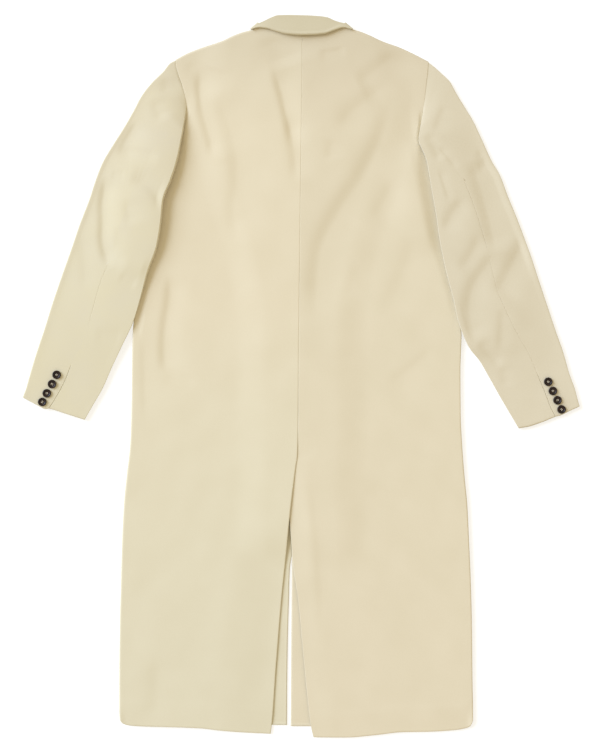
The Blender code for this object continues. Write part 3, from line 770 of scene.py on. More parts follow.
    def hem_band(self, side: Side, x: Array, y: Array) -> Array:
        """The slight step where the turned-up hem ends behind the cloth, and how the hem sinks."""
        above = y - Track(HEM[side]).at(x)
        sunk = Track(HEM_SINKS).at(x) * rise(above, self.hem_sinks)
        return self.hem_step * rise(above, self.hem_ends) - sunk

    def back_place(self, side: Side, u: Array, v: Array) -> Array:
        """Where one back's grid lies on its outside surface.

        Args:
            side: which back.
            u: shares from its inner edge to its side.
            v: shares from the top to the hem.

        Returns:
            X, Y, Z and the place on the flat cut.
        """
        edge = CENTRE_SEAM + VENT_EDGE[side]
        x, y, drop, to_side, to_top, *flat = self.plan(side, edge, HEM[side], u, v)
        calm = rise(to_side, self.calm_side) * rise(to_top, self.calm_top)
        z = UPPER + self.raised(x, y) + calm * self.folds.at(x, y)
        z = z + self.hem_band(side, x, y) * rise(to_side, self.band_side)
        z = z - self.pressed(side, y, to_side) - self.sunk_at_vent(side, x, y)
        return np.stack([x, y, z - drop, *flat], axis=1)

    def front_place(self, side: Side, u: Array, v: Array) -> Array:
        """Where one front's grid lies on its outside surface, which is underneath.

        Args:
            side: which front.
            u: shares from its inner edge to its side.
            v: shares from the top to the hem.

        Returns:
            X, Y, Z and the place on the flat cut.
        """
        x, y, drop, _, _, *flat = self.plan(side, FRONT_EDGE[side], FRONT_HEM[side], u, v)
        past, under = self.front_runs_out
        share = (np.abs(x) - Track(LIFTED_REACH).at(y) - past) / (under - past)
        lift = LAPEL_LIFT * rise(y, self.front_lapels)
        if side is Side.RIGHT:
            lift = np.maximum(lift, BUTTON_LIFT * rise(y, self.front_buttons))
        z = np.clip(share, 0.0, 1.0) * lift + drop
        return np.stack([x, y, z, *flat], axis=1)

    def build(self) -> None:
        """Makes the four panels."""
        for side in Side:
            word = side.word
            back = Sheet(
                f"wool_back_{word}", *self.back_grid, partial(self.back_place, side),
                turned_over=side is Side.LEFT,
            ).build()
            stand_for(back, f"back_{word}", Slot.BODY, self.cloth[side])
            front = Sheet(
                f"wool_front_{word}", *self.front_grid, partial(self.front_place, side),
                turned_over=side is Side.RIGHT,
            ).build()
            stand_for(front, f"front_{word}", Slot.BODY, self.cloth[side])


BACK_FOLDS: tuple[Crease, ...] = (
    Crease(
        ((-181, 536), (-180, 520), (-181, 498), (-179, 477), (-175, 452), (-169, 432),
         (-161, 405), (-157, 375)), -2.7, 9, 26, 0.2,
    ),
    Crease(
        ((-150, 492), (-141, 454), (-131, 428), (-123, 393), (-119, 367), (-119, 332),
         (-126, 298), (-124, 263), (-116, 225)), -2.0, 15, 34, 0.2,
    ),
    Crease(
        ((-52, 540), (-45, 512), (-39, 494), (-34, 473), (-29, 449), (-23, 428), (-18, 393)),
        -2.9, 8, 28, 0.3,
    ),
    Crease(((-28, 456), (-21, 411), (-16, 379), (-14, 334)), -1.9, 11, 22),
    Crease(((-66, 592), (-52, 562), (-40, 528)), -2.4, 26, 44, 0.35),
    Crease(((-214, 553), (-176, 539), (-150, 531), (-110, 522)), -0.9, 8, 24),
    Crease(((176, 584), (156, 566), (136, 546), (110, 526), (92, 517)), -2.2, 16, 36, 0.2),
    Crease(((153, 520), (120, 493), (88, 470), (70, 450), (60, 418)), -1.9, 16, 36),
    Crease(((52, 414), (44, 393), (47, 372)), -0.9, 10, 20),
    Crease(
        ((150, 500), (146, 468), (132, 420), (118, 388), (104, 362), (90, 338), (72, 315),
         (58, 292), (46, 272), (34, 250), (25, 228), (19, 202), (16, 158), (15, 90)),
        -3.6, 19, 64, 0.2,
    ),
    Crease(
        ((190, 410), (200, 372), (207, 341), (217, 280), (226, 237), (232, 205)), 2.6, 15, 45,
        0.25,
    ),
    Crease(((157, 345), (146, 320), (134, 298), (120, 271)), -1.0, 12, 30),
    Crease(((193, 254), (181, 219), (177, 198), (164, 167), (151, 141), (134, 106)), -1.0, 16, 34),
    Crease(((97, 198), (85, 167), (75, 136)), -0.5, 10, 24),
    Crease(((30, 564), (59, 566), (77, 572)), -0.9, 5, 14),
    Crease(((231, 56), (200, 28), (176, 9), (144, -9)), -0.9, 10, 27),
    Crease(
        ((-232, 178), (-233, 132), (-240, 97), (-243, 63), (-243, 28), (-238, 0)), -2.5, 9, 24,
        0.2,
    ),
    Crease(((-282, 71), (-278, -7), (-275, -85)), -0.9, 10, 24),
    Crease(((-237, 14), (-176, -3)), -0.5, 8, 20),
    Crease(((7, -150), (17, -216), (24, -294), (31, -390), (35, -459)), -0.8, 9, 27),
    Crease(((113, -184), (164, -202), (197, -218)), -0.6, 8, 20),
    Crease(((-259, -487), (-258, -546), (-263, -592)), -1.1, 16, 41),
)


# Each sleeve's sections from the armhole to the cuff: outer x and y, inner x and y, the hind
# seam's share of the width, how high the inner fold climbs, and how far the front reaches under it
SLEEVE: dict[Side, Rows] = {
    Side.LEFT: (
        (-218, 549, -199, 474, 0.9, 0, 0),
        (-228, 544, -199, 463, 0.89, 1.2, 0),
        (-240, 529, -200, 451, 0.87, 3.4, 2),
        (-259, 510, -202, 437, 0.84, 6, 9.5),
        (-277, 487, -204, 423, 0.8, 8.3, 13),
        (-292, 459, -207, 407, 0.75, 8.3, 14.5),
        (-307, 433, -210, 390, 0.7, 8.3, 13.5),
        (-326, 403, -216, 365, 0.64, 8.3, 14),
        (-344, 373, -225, 338, 0.59, 8.3, 14),
        (-357, 341, -238, 303, 0.55, 8.3, 11.5),
        (-367, 310, -242, 264, 0.51, 8.3, 10),
        (-385, 263, -249, 224, 0.48, 8.3, 10),
        (-400, 219, -264, 183, 0.5, 7.8, 10),
        (-416, 174, -275, 145, 0.478, 6.8, 8),
        (-432, 127, -291, 94, 0.492, 5.2, 0),
        (-447, 79, -311, 52, 0.52, 2.6, 0),
        (-461, 37, -329, 14, 0.49, 0.9, 0),
        (-472, 0, -345, -22, 0.48, 0, 0),
        (-478, -21, -360, -48, 0.463, 0, 0),
        (-484, -37, -376, -76, 0.438, 0, 0),
    ),
    Side.RIGHT: (
        (222, 545, 213, 468, 0.9, 0, 3),
        (230, 539, 212.4, 460, 0.89, 0.3, 4),
        (244, 526, 210.6, 450, 0.87, 0.9, 6),
        (258, 512, 208.2, 438, 0.84, 1.9, 8),
        (271, 489, 206, 426, 0.8, 3.2, 11),
        (285, 466, 204, 409, 0.75, 4.5, 16),
        (299, 443, 210, 393, 0.69, 5.2, 14.5),
        (315, 409, 217, 376, 0.62, 5.2, 12),
        (331, 374, 223, 345, 0.56, 5.2, 11.5),
        (345, 350, 228, 315, 0.51, 5.4, 11.5),
        (360, 311, 234, 282, 0.48, 5.6, 10),
        (374, 277, 239, 245, 0.467, 5.8, 10),
        (388, 240, 246, 207, 0.464, 6.2, 10),
        (401, 204, 254, 172, 0.48, 6.6, 10),
        (414, 164, 264, 134, 0.49, 7, 8),
        (428, 122, 272, 97, 0.457, 7, 4),
        (442, 80, 291, 50, 0.42, 5.5, 0),
        (456, 40, 310, 26, 0.4, 2, 0),
        (466, 5, 327, -3, 0.395, 0.5, 0),
        (476, -23, 345, -35, 0.4, 0, 0),
        (481, -42, 362, -64, 0.41, 0, 0),
        (484, -52, 378, -91, 0.405, 0, 0),
    ),
}
# How far each cuff hangs below a straight line, at shares of its width
CUFF_DIP: dict[Side, Table] = {
    Side.LEFT: ((0.0, 0), (0.24, 4), (0.38, 6), (0.44, 2.3), (0.7, 1.2), (1.0, 0)),
    Side.RIGHT: (
        (0.0, 0.6), (0.18, 2.3), (0.33, 4), (0.4, 3.1), (0.61, 3.9), (0.79, 3.7), (1.0, 0),
    ),
}
# How far each inner fold's upper half rounds off in plan, by station
FOLD_REACH: dict[Side, Table] = {
    Side.LEFT: ((0, 2.4), (12, 2.4), (14, 0.5), (19, 0.5)),
    Side.RIGHT: ((0, 0.5), (21, 0.5)),
}
SLEEVE_FOLDS: dict[Side, tuple[Crease, ...]] = {
    Side.LEFT: (
        Crease(
            ((-343, 348), (-346, 320), (-350, 296), (-348, 268),
             (-350, 237), (-344, 209), (-333, 184)), -2.9, 8, 18, 0.2,
        ),
        Crease(((-299, 336), (-278, 331), (-260, 318), (-248, 300), (-243, 280)), -2.4, 10, 20),
        Crease(((-306, 310), (-304, 280), (-298, 256)), -1.2, 9, 24, 0.4),
        Crease(((-322, 186), (-296, 180), (-268, 172), (-250, 166)), 1.3, 16, 16),
        Crease(((-236, 524), (-244, 484)), -1.8, 12, 22, 0.5),
        Crease(((-262, 482), (-252, 452), (-244, 436)), -1.5, 10, 20, 0.4),
        Crease(((-286, 446), (-302, 420), (-314, 396), (-320, 378)), -1.6, 9, 18),
        Crease(((-318, 394), (-289, 394), (-266, 390), (-242, 383)), -1.3, 9, 14),
        Crease(((-329, 355), (-304, 353)), -0.5, 6, 10),
        Crease(((-320, 261), (-324, 216)), -0.6, 9, 14),
        Crease(((-385, 244), (-381, 198), (-379, 146)), -0.7, 10, 17),
        Crease(((-318, 169), (-287, 151)), -0.7, 8, 13),
        Crease(((-358, 80), (-306, 77)), -0.5, 10, 17),
    ),
    Side.RIGHT: (
        Crease(
            ((288, 372), (297, 345), (305, 319), (312, 294),
             (319, 268), (325, 240), (329, 212)), -3.1, 15, 40, 0.2,
        ),
        Crease(((308, 379), (311, 351)), -0.9, 8, 13, 0.5),
        Crease(
            ((331, 223), (318, 198), (303, 179), (291, 157), (284, 132),
             (284, 106), (289, 80), (301, 52)), -2.9, 14, 28, 0.2,
        ),
        Crease(((306, 251), (294, 219), (280, 198), (268, 186)), -1.5, 11, 18),
        Crease(((284, 313), (263, 294), (252, 275), (244, 249)), -1.7, 11, 18),
        Crease(((384, 248), (369, 214), (355, 188), (344, 166), (331, 146)), -2.8, 15, 28, 0.2),
        Crease(((345, 122), (343, 80), (341, 38)), -1.0, 8, 14),
        Crease(((303, 59), (324, 35), (345, 14)), -1.2, 7, 14),
        Crease(((346, 17), (351, -21)), -0.6, 9, 14),
        Crease(((212, 418), (228, 393), (237, 369)), -1.3, 8, 13),
        Crease(((237, 397), (252, 379), (270, 357)), -0.8, 4, 8),
        Crease(((237, 360), (247, 327), (256, 299)), -0.7, 4, 10),
        Crease(((247, 473), (238, 449), (228, 423)), -0.7, 7, 13),
        Crease(((304, 392), (332, 379)), -0.9, 6, 10, 0.4),
    ),
}
# How deep each hind seam's groove shows, in shares, by Y
SEAM_SHOWS: dict[Side, Table] = {
    Side.LEFT: (
        (560, 0), (200, 0), (180, 0.5), (110, 0.45), (75, 0), (24, 0), (12, 1.6), (-90, 2.2),
    ),
    Side.RIGHT: (
        (560, 0), (345, 0), (325, 0.6), (232, 0.6), (215, 0.2), (160, 0.5), (30, 0.45),
        (5, 0.5), (-4, 1.4), (-110, 1.8),
    ),
}
# How much the inner fold of each sleeve swells, by station
SWELL: dict[Side, Table] = {
    Side.LEFT: (
        (0, 0), (2, 0.5), (4, 2.4), (7, 6.2), (9, 7.6), (10.5, 6.2), (12, 2.4), (13, 0.6), (14, 0),
        (19, 0),
    ),
    Side.RIGHT: ((0, 0), (2, 0.5), (4, 1), (8, 1), (12, 1.5), (15, 1.5), (18, 0), (21, 0)),
}


@dataclass(frozen=True)
class Section:
    """A sleeve's flat sections at an array of shares of its length."""

    station: Array  # its place between the rows of the sleeve's table
    ends: tuple[Array, ...]  # outer X and Y, inner X and Y
    hind: Array  # the hind seam's share of the width
    over: Array  # how high the inner fold climbs
    cover: Array  # how far the front reaches under it
    along: Array  # the distance from the armhole

    @property
    def width(self) -> Array:
        """How wide the sections are."""
        return np.hypot(self.ends[2] - self.ends[0], self.ends[3] - self.ends[1])


@dataclass
class Sleeves:
    """Both sleeves: flattened tubes of a top sleeve and an under sleeve."""

    cloth: dict[Side, Material]
    top_grid: tuple[int, int] = (150, 230)
    under_grid: tuple[int, int] = (120, 230)
    row_gather: float = 0.25  # how much the rows gather at armhole and cuff
    # Stations over which the head flattens and the lower layer closes to a tube
    head: Span = (1.0, 8.0)
    closes: Span = (9.0, 10.0)
    armhole_fade: float = 0.35  # how fast the armhole's curve runs out, in shares a station
    cuff_stations: float = 1.6  # the stations over which the cuff's dip grows
    cuff_hangs: Span = (0.35, -0.93)  # the way that the dip goes: outwards and down
    flange: Span = (8.0, 24.6)  # the under sleeve's lower layer beside the front, and in the tube
    # Where the upper layer starts to climb and over how much, in shares of the width, at the
    # shoulder and from the head's end on
    climb_from: Span = (0.0, 0.06)
    climb_over: Span = (0.98, 0.88)
    climb_power: float = 0.7
    low_climb: Span = (40.0, 12.0)  # distances from the inner fold, for the lower layer
    hidden_gap: float = 0.4  # between the lower layer and the front at the armhole
    tuck: float = 1.4  # how far the armhole seam's edge reaches under the body's edge
    calm_edge: float = 14.0  # how close to folds and seams the creases fade out
    calm_from: float = 1.0
    soft_armhole: float = 0.3  # how deep the right one turns in
    soft_width: Span = (16.0, 0.0)  # and over what distance from its seam
    cuff_depth: float = 0.25  # how deep the cuff's edge lies, in shares of a free edge's round
    # How closely the outer fold rounds off in plan on its upper half, in shares of its radius
    crisp: dict[Side, float] = by_side(0.6, 0.35)
    # The shares of each grid's columns at which its fold begins and ends
    top_fold: Span = (0.22, 0.38)
    under_fold: Span = (0.6, 0.8)
    least: float = 0.5  # the shortest run that either layer of the under sleeve keeps

    def section(self, side: Side, v: Array) -> Section:
        """Reads the sleeve's table at shares of its length.

        Args:
            side: which sleeve.
            v: shares from the armhole to the cuff.

        Returns:
            The sections there.
        """
        rows = np.array(SLEEVE[side])
        middle = 0.5 * (rows[:, 0:2] + rows[:, 2:4])
        gone = np.concatenate([[0.0], np.cumsum(np.hypot(*np.diff(middle, axis=0).T))])
        along = gathered(v, self.row_gather) * gone[-1]
        numbers = np.arange(len(gone))
        station = np.interp(along, gone, numbers)
        columns = [Track(tuple(zip(numbers, column))).at(station) for column in rows.T]
        return Section(station, tuple(columns[:4]), *columns[4:], along)

    def spot(
        self, side: Side, station: Value, ends: Sequence[Value], share: Array, gap: Array
    ) -> tuple[Array, Array]:
        """Where a share across a section lies in plan.

        Args:
            side: which sleeve.
            station: the section's place in the table; the first ones follow the armhole seam.
            ends: its outer X and Y and its inner X and Y.
            share: shares of its width from the outer fold.
            gap: how far the cloth stays away from the armhole seam, below 0 if it tucks under.

        Returns:
            X and Y.
        """
        outer_x, outer_y, inner_x, inner_y = ends
        armhole = SLEEVE[side][0]
        seam_x = Track(BODY_SIDE[side]).at(lerp(armhole[1], armhole[3], share))
        fade = np.clip(1.0 - self.armhole_fade * station, 0.0, 1.0)
        curve = (seam_x - lerp(armhole[0], armhole[2], share)) * fade
        apart = np.where(gap > 0.0, np.clip(1.0 - station / self.closes[0], 0.0, 1.0), fade)
        cuff = len(SLEEVE[side]) - 1
        dip = Track(CUFF_DIP[side]).at(share) * rise(station, (cuff - self.cuff_stations, cuff))
        out, down = self.cuff_hangs
        x = lerp(outer_x, inner_x, share) + curve + side.value * (gap * apart + out * dip)
        return x, lerp(outer_y, inner_y, share) + down * dip

    def from_end(
        self, side: Side, station: int, share: Array, gap: Array, places: tuple[Array, Array]
    ) -> Array:
        """How far places lie from the armhole or from the cuff.

        Args:
            side: which sleeve.
            station: the number of the end's row in the table.
            share: the places' shares of the width.
            gap: how far they stay away from the armhole seam.
            places: their X and Y.

        Returns:
            The distances in plan.
        """
        end_x, end_y = self.spot(side, station, SLEEVE[side][station][:4], share, gap)
        return np.hypot(places[0] - end_x, places[1] - end_y)

    def drape(
        self, side: Side, at: Section, place: Array, layer: Array, seam_drop: Array, inner: bool
    ) -> tuple[Array, Array, Array]:
        """Where the cloth lies at a place across the flattened tube.

        Args:
            side: which sleeve.
            at: the section of each place.
            place: distances from the outer fold.
            layer: how high round the folds, from -1 below to 1 on top.
            seam_drop: how far the cloth has turned in at the hind seam.
            inner: whether the cloth holds the inner fold, which lifts its lower half too.

        Returns:
            X, Y and Z.
        """
        width = at.width
        share = place / width
        along = rise(at.station, self.head)
        climbed = (share - lerp(*self.climb_from, along)) / lerp(*self.climb_over, along)
        swell = Track(SWELL[side]).at(at.station)
        upper = (at.over + swell) * smooth(np.clip(climbed, 0.0, 1.0) ** self.climb_power)
        tube = 1.0 if inner else rise(at.station, self.closes)
        lower = tube * at.over * rise(width - place, self.low_climb)
        top_share = 0.5 + 0.5 * layer
        off_floor = smooth(2.0 * top_share)
        tucked = self.tuck * off_floor
        gap = self.hidden_gap * (1.0 - off_floor) - tucked
        x, y = self.spot(side, at.station, at.ends, share, gap)
        from_seam = self.from_end(side, 0, share, gap, (x, y)) - tucked
        from_cuff = self.from_end(side, len(SLEEVE[side]) - 1, share, gap, (x, y))
        edge = self.calm_edge
        calm = smooth((place - self.calm_from) / edge) * smooth((width - place) / edge)
        calm = calm * smooth(from_seam / edge) * np.clip(layer, 0.0, 1.0)
        folds = calm * Relief(SLEEVE_FOLDS[side]).at(x, y)
        turn = turn_in(from_seam, SEAM_RADIUS)[1]
        if side is Side.RIGHT:
            turn = self.soft_armhole * rise(from_seam, self.soft_width)
        turn = np.maximum(turn, self.cuff_depth * turn_in(from_cuff, HEM_RADIUS)[1])
        turn = np.maximum(turn, seam_drop * Track(SEAM_SHOWS[side]).at(y))
        z = lerp(lower + turn * (layer < 0.0), UPPER + upper + folds - turn, top_share)
        return x, y, z

    def top_place(self, side: Side, u: Array, v: Array) -> Array:
        """Where a top sleeve lies: lower layer, outer fold, then upper layer.

        Args:
            side: which sleeve.
            u: shares from the lower layer's edge to the hind seam.
            v: shares from the armhole to the cuff.

        Returns:
            X, Y, Z and the place on the flat cut.
        """
        at = self.section(side, v)
        open_end = at.width - at.cover - self.hidden_gap
        tube_end = at.width - self.flange[1] - self.hidden_gap
        below = lerp(open_end, tube_end, rise(at.station, self.closes)) - FOLD_RADIUS
        seam = at.hind * at.width
        half = np.pi * FOLD_RADIUS
        above = seam - FOLD_RADIUS + SEAM_RADIUS * ROUND_TAKES
        begins, ends = self.top_fold
        fold = below + half * (u - begins) / (ends - begins)
        after = below + half + above * np.sin(0.5 * np.pi * (u - ends) / (1.0 - ends))
        arc = np.select([u < begins, u < ends], [below * u / begins, fold], after)
        angle = np.clip((arc - below) / FOLD_RADIUS, 0.0, np.pi)
        on_top = arc > below + half
        to_edge, seam_drop = turn_in(np.maximum(above - (arc - below - half), 0.0), SEAM_RADIUS)
        crisp = self.crisp[side]
        around = FOLD_RADIUS * (1.0 - np.sin(angle)) * np.where(angle > 0.5 * np.pi, crisp, 1.0)
        low = np.maximum(below - arc, 0.0) + around
        across = np.where(on_top, np.maximum(seam - to_edge, crisp * FOLD_RADIUS), low)
        seam_drop = np.where(on_top, seam_drop, 0.0)
        x, y, z = self.drape(side, at, across, -np.cos(angle), seam_drop, inner=False)
        return np.stack([x, y, z, arc, at.along], axis=1)

    def under_place(self, side: Side, u: Array, v: Array) -> Array:
        """Where an under sleeve lies, from the hind seam over the inner fold.

        Args:
            side: which sleeve.
            u: shares from the hind seam to the lower layer's edge.
            v: shares from the armhole to the cuff.

        Returns:
            X, Y, Z and the place on the flat cut.
        """
        at = self.section(side, v)
        width = at.width
        radius = FOLD_RADIUS + 0.5 * Track(SWELL[side]).at(at.station)
        crisp = Track(FOLD_REACH[side]).at(at.station)
        seam = at.hind * width
        above = np.maximum(width - crisp - seam, self.least) + SEAM_RADIUS * ROUND_TAKES
        half = np.pi * radius
        flange = lerp(*self.flange, rise(at.station, self.closes))
        below = np.maximum(flange - radius, self.least)
        begins, ends = self.under_fold
        fold = above + half * (u - begins) / (ends - begins)
        after = above + half + below * (u - ends) / (1.0 - ends)
        arc = np.select([u < begins, u < ends], [above * gathered(u / begins, 1.0), fold], after)
        to_edge, seam_drop = turn_in(np.minimum(arc, above), SEAM_RADIUS)
        angle = np.clip((arc - above) / radius, 0.0, np.pi)
        past = np.maximum(arc - above - half, 0.0)
        reach = np.where(angle < np.pi / 2.0, crisp, radius)
        rim = width - reach * (1.0 - np.sin(angle)) - past
        on_top = arc < above
        across = np.where(on_top, np.minimum(seam + to_edge, width - crisp), rim)
        seam_drop = np.where(on_top, seam_drop, 0.0)
        x, y, z = self.drape(side, at, across, np.cos(angle), seam_drop, inner=True)
        return np.stack([x, y, z, arc, at.along], axis=1)

    def build(self) -> None:
        """Makes the four pieces."""
        for side in Side:
            word = side.word
            top = Sheet(
                f"wool_topsleeve_{word}", *self.top_grid, partial(self.top_place, side),
                turned_over=side is Side.RIGHT,
            ).build()
            stand_for(top, f"topsleeve_{word}", Slot.SLEEVE, self.cloth[side])
            under = Sheet(
                f"wool_undersleeve_{word}", *self.under_grid, partial(self.under_place, side),
                turned_over=side is Side.RIGHT,
            ).build()
            stand_for(under, f"undersleeve_{word}", Slot.SLEEVE, self.cloth[side])


@dataclass
class Band:
    """Two layers of cloth turned out to one flat band, rounded at its roll and its free edge."""

    name: str
    cuts: Rows  # roll x and y, free x and y, and the turn in degrees
    thick: float
    middle: float  # the height about which the band turns
    arm: float = 0.0  # how far its own middle lies from there
    columns: int = 96
    rows: int = 260
    puff: float = 0.0  # how much the band swells and stands off towards its free edge
    puff_below: float = 0.7  # the share of that on its underside
    ends_calm: int = 6  # how quickly that runs out towards the band's ends, as a power
    rolled: float = 0.0  # half the height of the roll along that edge
    roll_from: float = 3.0  # how far inside the edge the roll's crest lies
    roll_width: float = 2.4

    def place(self, u: Array, v: Array) -> Array:
        """The mapping of the band's grid: once round its section, and along its cuts.

        Args:
            u: shares of the way round.
            v: shares of the way along.

        Returns:
            X, Y, Z and the place on the flat cut.
        """
        rows = np.array(self.cuts, dtype=float)
        middles = 0.5 * (rows[:, 0:2] + rows[:, 2:4])
        swept = np.radians(np.abs(np.diff(rows[:, 4]))) * max(self.arm, 1.0)
        gone = np.concatenate([[0.0], np.cumsum(np.hypot(*np.diff(middles, axis=0).T) + swept)])
        along = v * gone[-1]
        roll_x, roll_y, free_x, free_y, degrees = (
            Track(tuple(zip(gone, column))).at(along) for column in rows.T
        )
        turn = np.radians(degrees)
        width = np.hypot(free_x - roll_x, free_y - roll_y)
        run_x = (free_x - roll_x) / width
        run_y = (free_y - roll_y) / width
        radius = np.minimum(0.5 * self.thick, 0.49 * width)
        flat = width - 2.0 * radius
        half = np.pi * radius
        arc = u * 2.0 * (flat + half)
        free_turn = np.clip((arc - half - flat) / radius, 0.0, np.pi)
        roll_turn = np.clip(arc / radius, 0.0, np.pi)
        going = np.clip(arc - half, 0.0, flat)
        coming = np.clip(arc - 2.0 * half - flat, 0.0, flat)
        across = radius * (1.0 - np.sin(roll_turn)) + going
        across = across + radius * np.sin(free_turn) - coming
        side = np.where(arc < half, -np.cos(roll_turn), np.cos(free_turn))
        calm_ends = np.sin(np.pi * v) ** self.ends_calm * np.cos(turn).clip(0.0, 1.0)
        swell = self.puff * smooth(across / width) * lerp(self.puff_below, 1.0, 0.5 + 0.5 * side)
        crest = np.exp(-(((width - across - self.roll_from) / self.roll_width) ** 2))
        height = self.arm + 0.5 * self.thick * side
        height = height + (swell + self.rolled * crest * (side + 1.0)) * calm_ends
        lean = 0.5 * height * np.sin(turn)
        x = roll_x + run_x * across + np.sign(free_x + 0.001) * np.abs(run_y) * lean
        y = roll_y + run_y * across + np.abs(run_x) * lean
        z = self.middle + height * np.cos(turn)
        return np.stack([x, y, z, arc, along], axis=1)

    def build(self) -> Object:
        """Makes the band."""
        return Sheet(self.name, self.columns, self.rows, self.place, closed=True).build()


def mirrored(cuts: Rows) -> Rows:
    """The same cuts on the coat's other side."""
    return tuple((-cut[0], cut[1], -cut[2], *cut[3:]) for cut in cuts)


def turned(cuts: Rows, degrees: float) -> Rows:
    """The same cuts, each with the angle by which the band has turned there."""
    return tuple((*cut, degrees) for cut in cuts)


# Cuts across the bands: X and Y at the roll, then X and Y at the free edge. FALL goes from the
# neck's left point to its right one, and LEAF and LAPEL lie face down under the left front
FALL: Rows = (
    (-73, 611.5, -86, 600.5), (-65, 615, -74, 603.5), (-52, 621.5, -60, 602),
    (-40, 625.5, -42, 596.5), (-20, 626, -24, 592), (0, 625.6, 0, 590), (16, 625, 20, 590.5),
    (43, 622.5, 41, 592.5), (59, 616, 59, 599), (67, 613.5, 75, 603.5), (75, 611.5, 88, 600),
)
LEAF: Rows = ((-50, 512, -113, 494), (-59, 541, -120, 532), (-68, 576, -113, 567))
LAPEL: Rows = (
    (-50, 511.4, -90, 500), (-49, 503, -114, 484), (-48, 494, -137, 466), (-42, 428, -122, 393),
    (-35, 341, -97, 306), (-28, 237, -66, 211), (-23, 150, -42, 137), (-20, 100, -25, 96),
)
NECK_SEAM: Table = ((-64, 608.5), (-37, 604), (2, 602), (40, 604), (64, 608.5))
FACE_DOWN = 180


@dataclass
class Collar:
    """The fall and the stand of the collar, and the lapels under the fronts."""

    cloth: Material
    lapel_cloth: dict[Side, Material]
    turn_middle: float = 7.0
    turn_arm: float = 5.5
    stand_middle: float = 9.6
    stand_end: float = 63.0
    stand_rows: int = 15
    under_roll: float = 1.2  # how far the stand ends below the roll
    over_seam: float = 0.6  # and above the neck seam

    @staticmethod
    def fall_cuts() -> Rows:
        """The whole collar, from the gorge under the left front round the neck to the right.

        Returns:
            Its cuts with their turns.
        """
        leaf = turned(LEAF, FACE_DOWN)
        turns = range(FACE_DOWN, 0, -30)
        left = tuple((*FALL[0], turn) for turn in turns)
        right = tuple((*FALL[-1], turn) for turn in reversed(turns))
        return (*leaf, *left, *turned(FALL, 0), *right, *reversed(mirrored(leaf)))

    def stand_cuts(self) -> Rows:
        """The stand, between the neck seam and the roll.

        Returns:
            Its cuts with their turns.
        """
        roll = Track(tuple(cut[:2] for cut in FALL))
        seam = Track(NECK_SEAM)
        return tuple(
            (x, roll.at(x) - self.under_roll, x, seam.at(x) + self.over_seam, 0)
            for x in np.linspace(-self.stand_end, self.stand_end, self.stand_rows)
        )

    def build(self) -> None:
        """Makes the four bands."""
        fall = Band(
            "wool_collar", self.fall_cuts(), LAPEL_WALL, self.turn_middle, self.turn_arm, puff=3.8,
            rolled=0.6,
        ).build()
        stand_for(fall, "collar", Slot.COLLAR, self.cloth)
        stand = Band(
            "wool_stand", self.stand_cuts(), WALL, self.stand_middle, columns=60, rows=120,
        ).build()
        stand_for(stand, "collar_stand", Slot.COLLAR, self.cloth)
        for side in Side:
            cuts = turned(LAPEL if side is Side.LEFT else mirrored(LAPEL), FACE_DOWN)
            lapel = Band(
                f"wool_lapel_{side.word}", cuts, LAPEL_WALL, 0.5 * LAPEL_WALL, rows=200,
            ).build()
            stand_for(lapel, f"lapel_{side.word}", Slot.BODY, self.lapel_cloth[side])


# Half a button's section from the middle of its underside over the rim to the middle of its dished
# face, in shares of its radius and its height
BUTTON_SECTION: Table = (
    (0.0, 0.0), (0.74, 0.0), (0.86, 0.06), (0.95, 0.22), (1.0, 0.44), (1.0, 0.62), (0.97, 0.82),
    (0.91, 0.95), (0.84, 1.0), (0.77, 0.97), (0.7, 0.86), (0.62, 0.76), (0.5, 0.7), (0.25, 0.67),
    (0.0, 0.66),
)
# X and Y of each cuff button, and how far its holes are turned
CUFF_BUTTONS: dict[Side, Rows] = {
    Side.LEFT: ((-424, 2, 20), (-432, -14, -35), (-441, -30, 5), (-449, -45, 50)),
    Side.RIGHT: ((429, -10, -20), (437, -26, 40), (445, -42, 10), (452, -58, -50)),
}
# The same for the front buttons
FRONT_BUTTONS: Rows = ((9, 54, 8), (9, -76, -14), (9, -206, 21))


@dataclass(frozen=True)
class Button:
    """One size of button: its radius and its height, in millimetres."""

    radius: float
    height: float


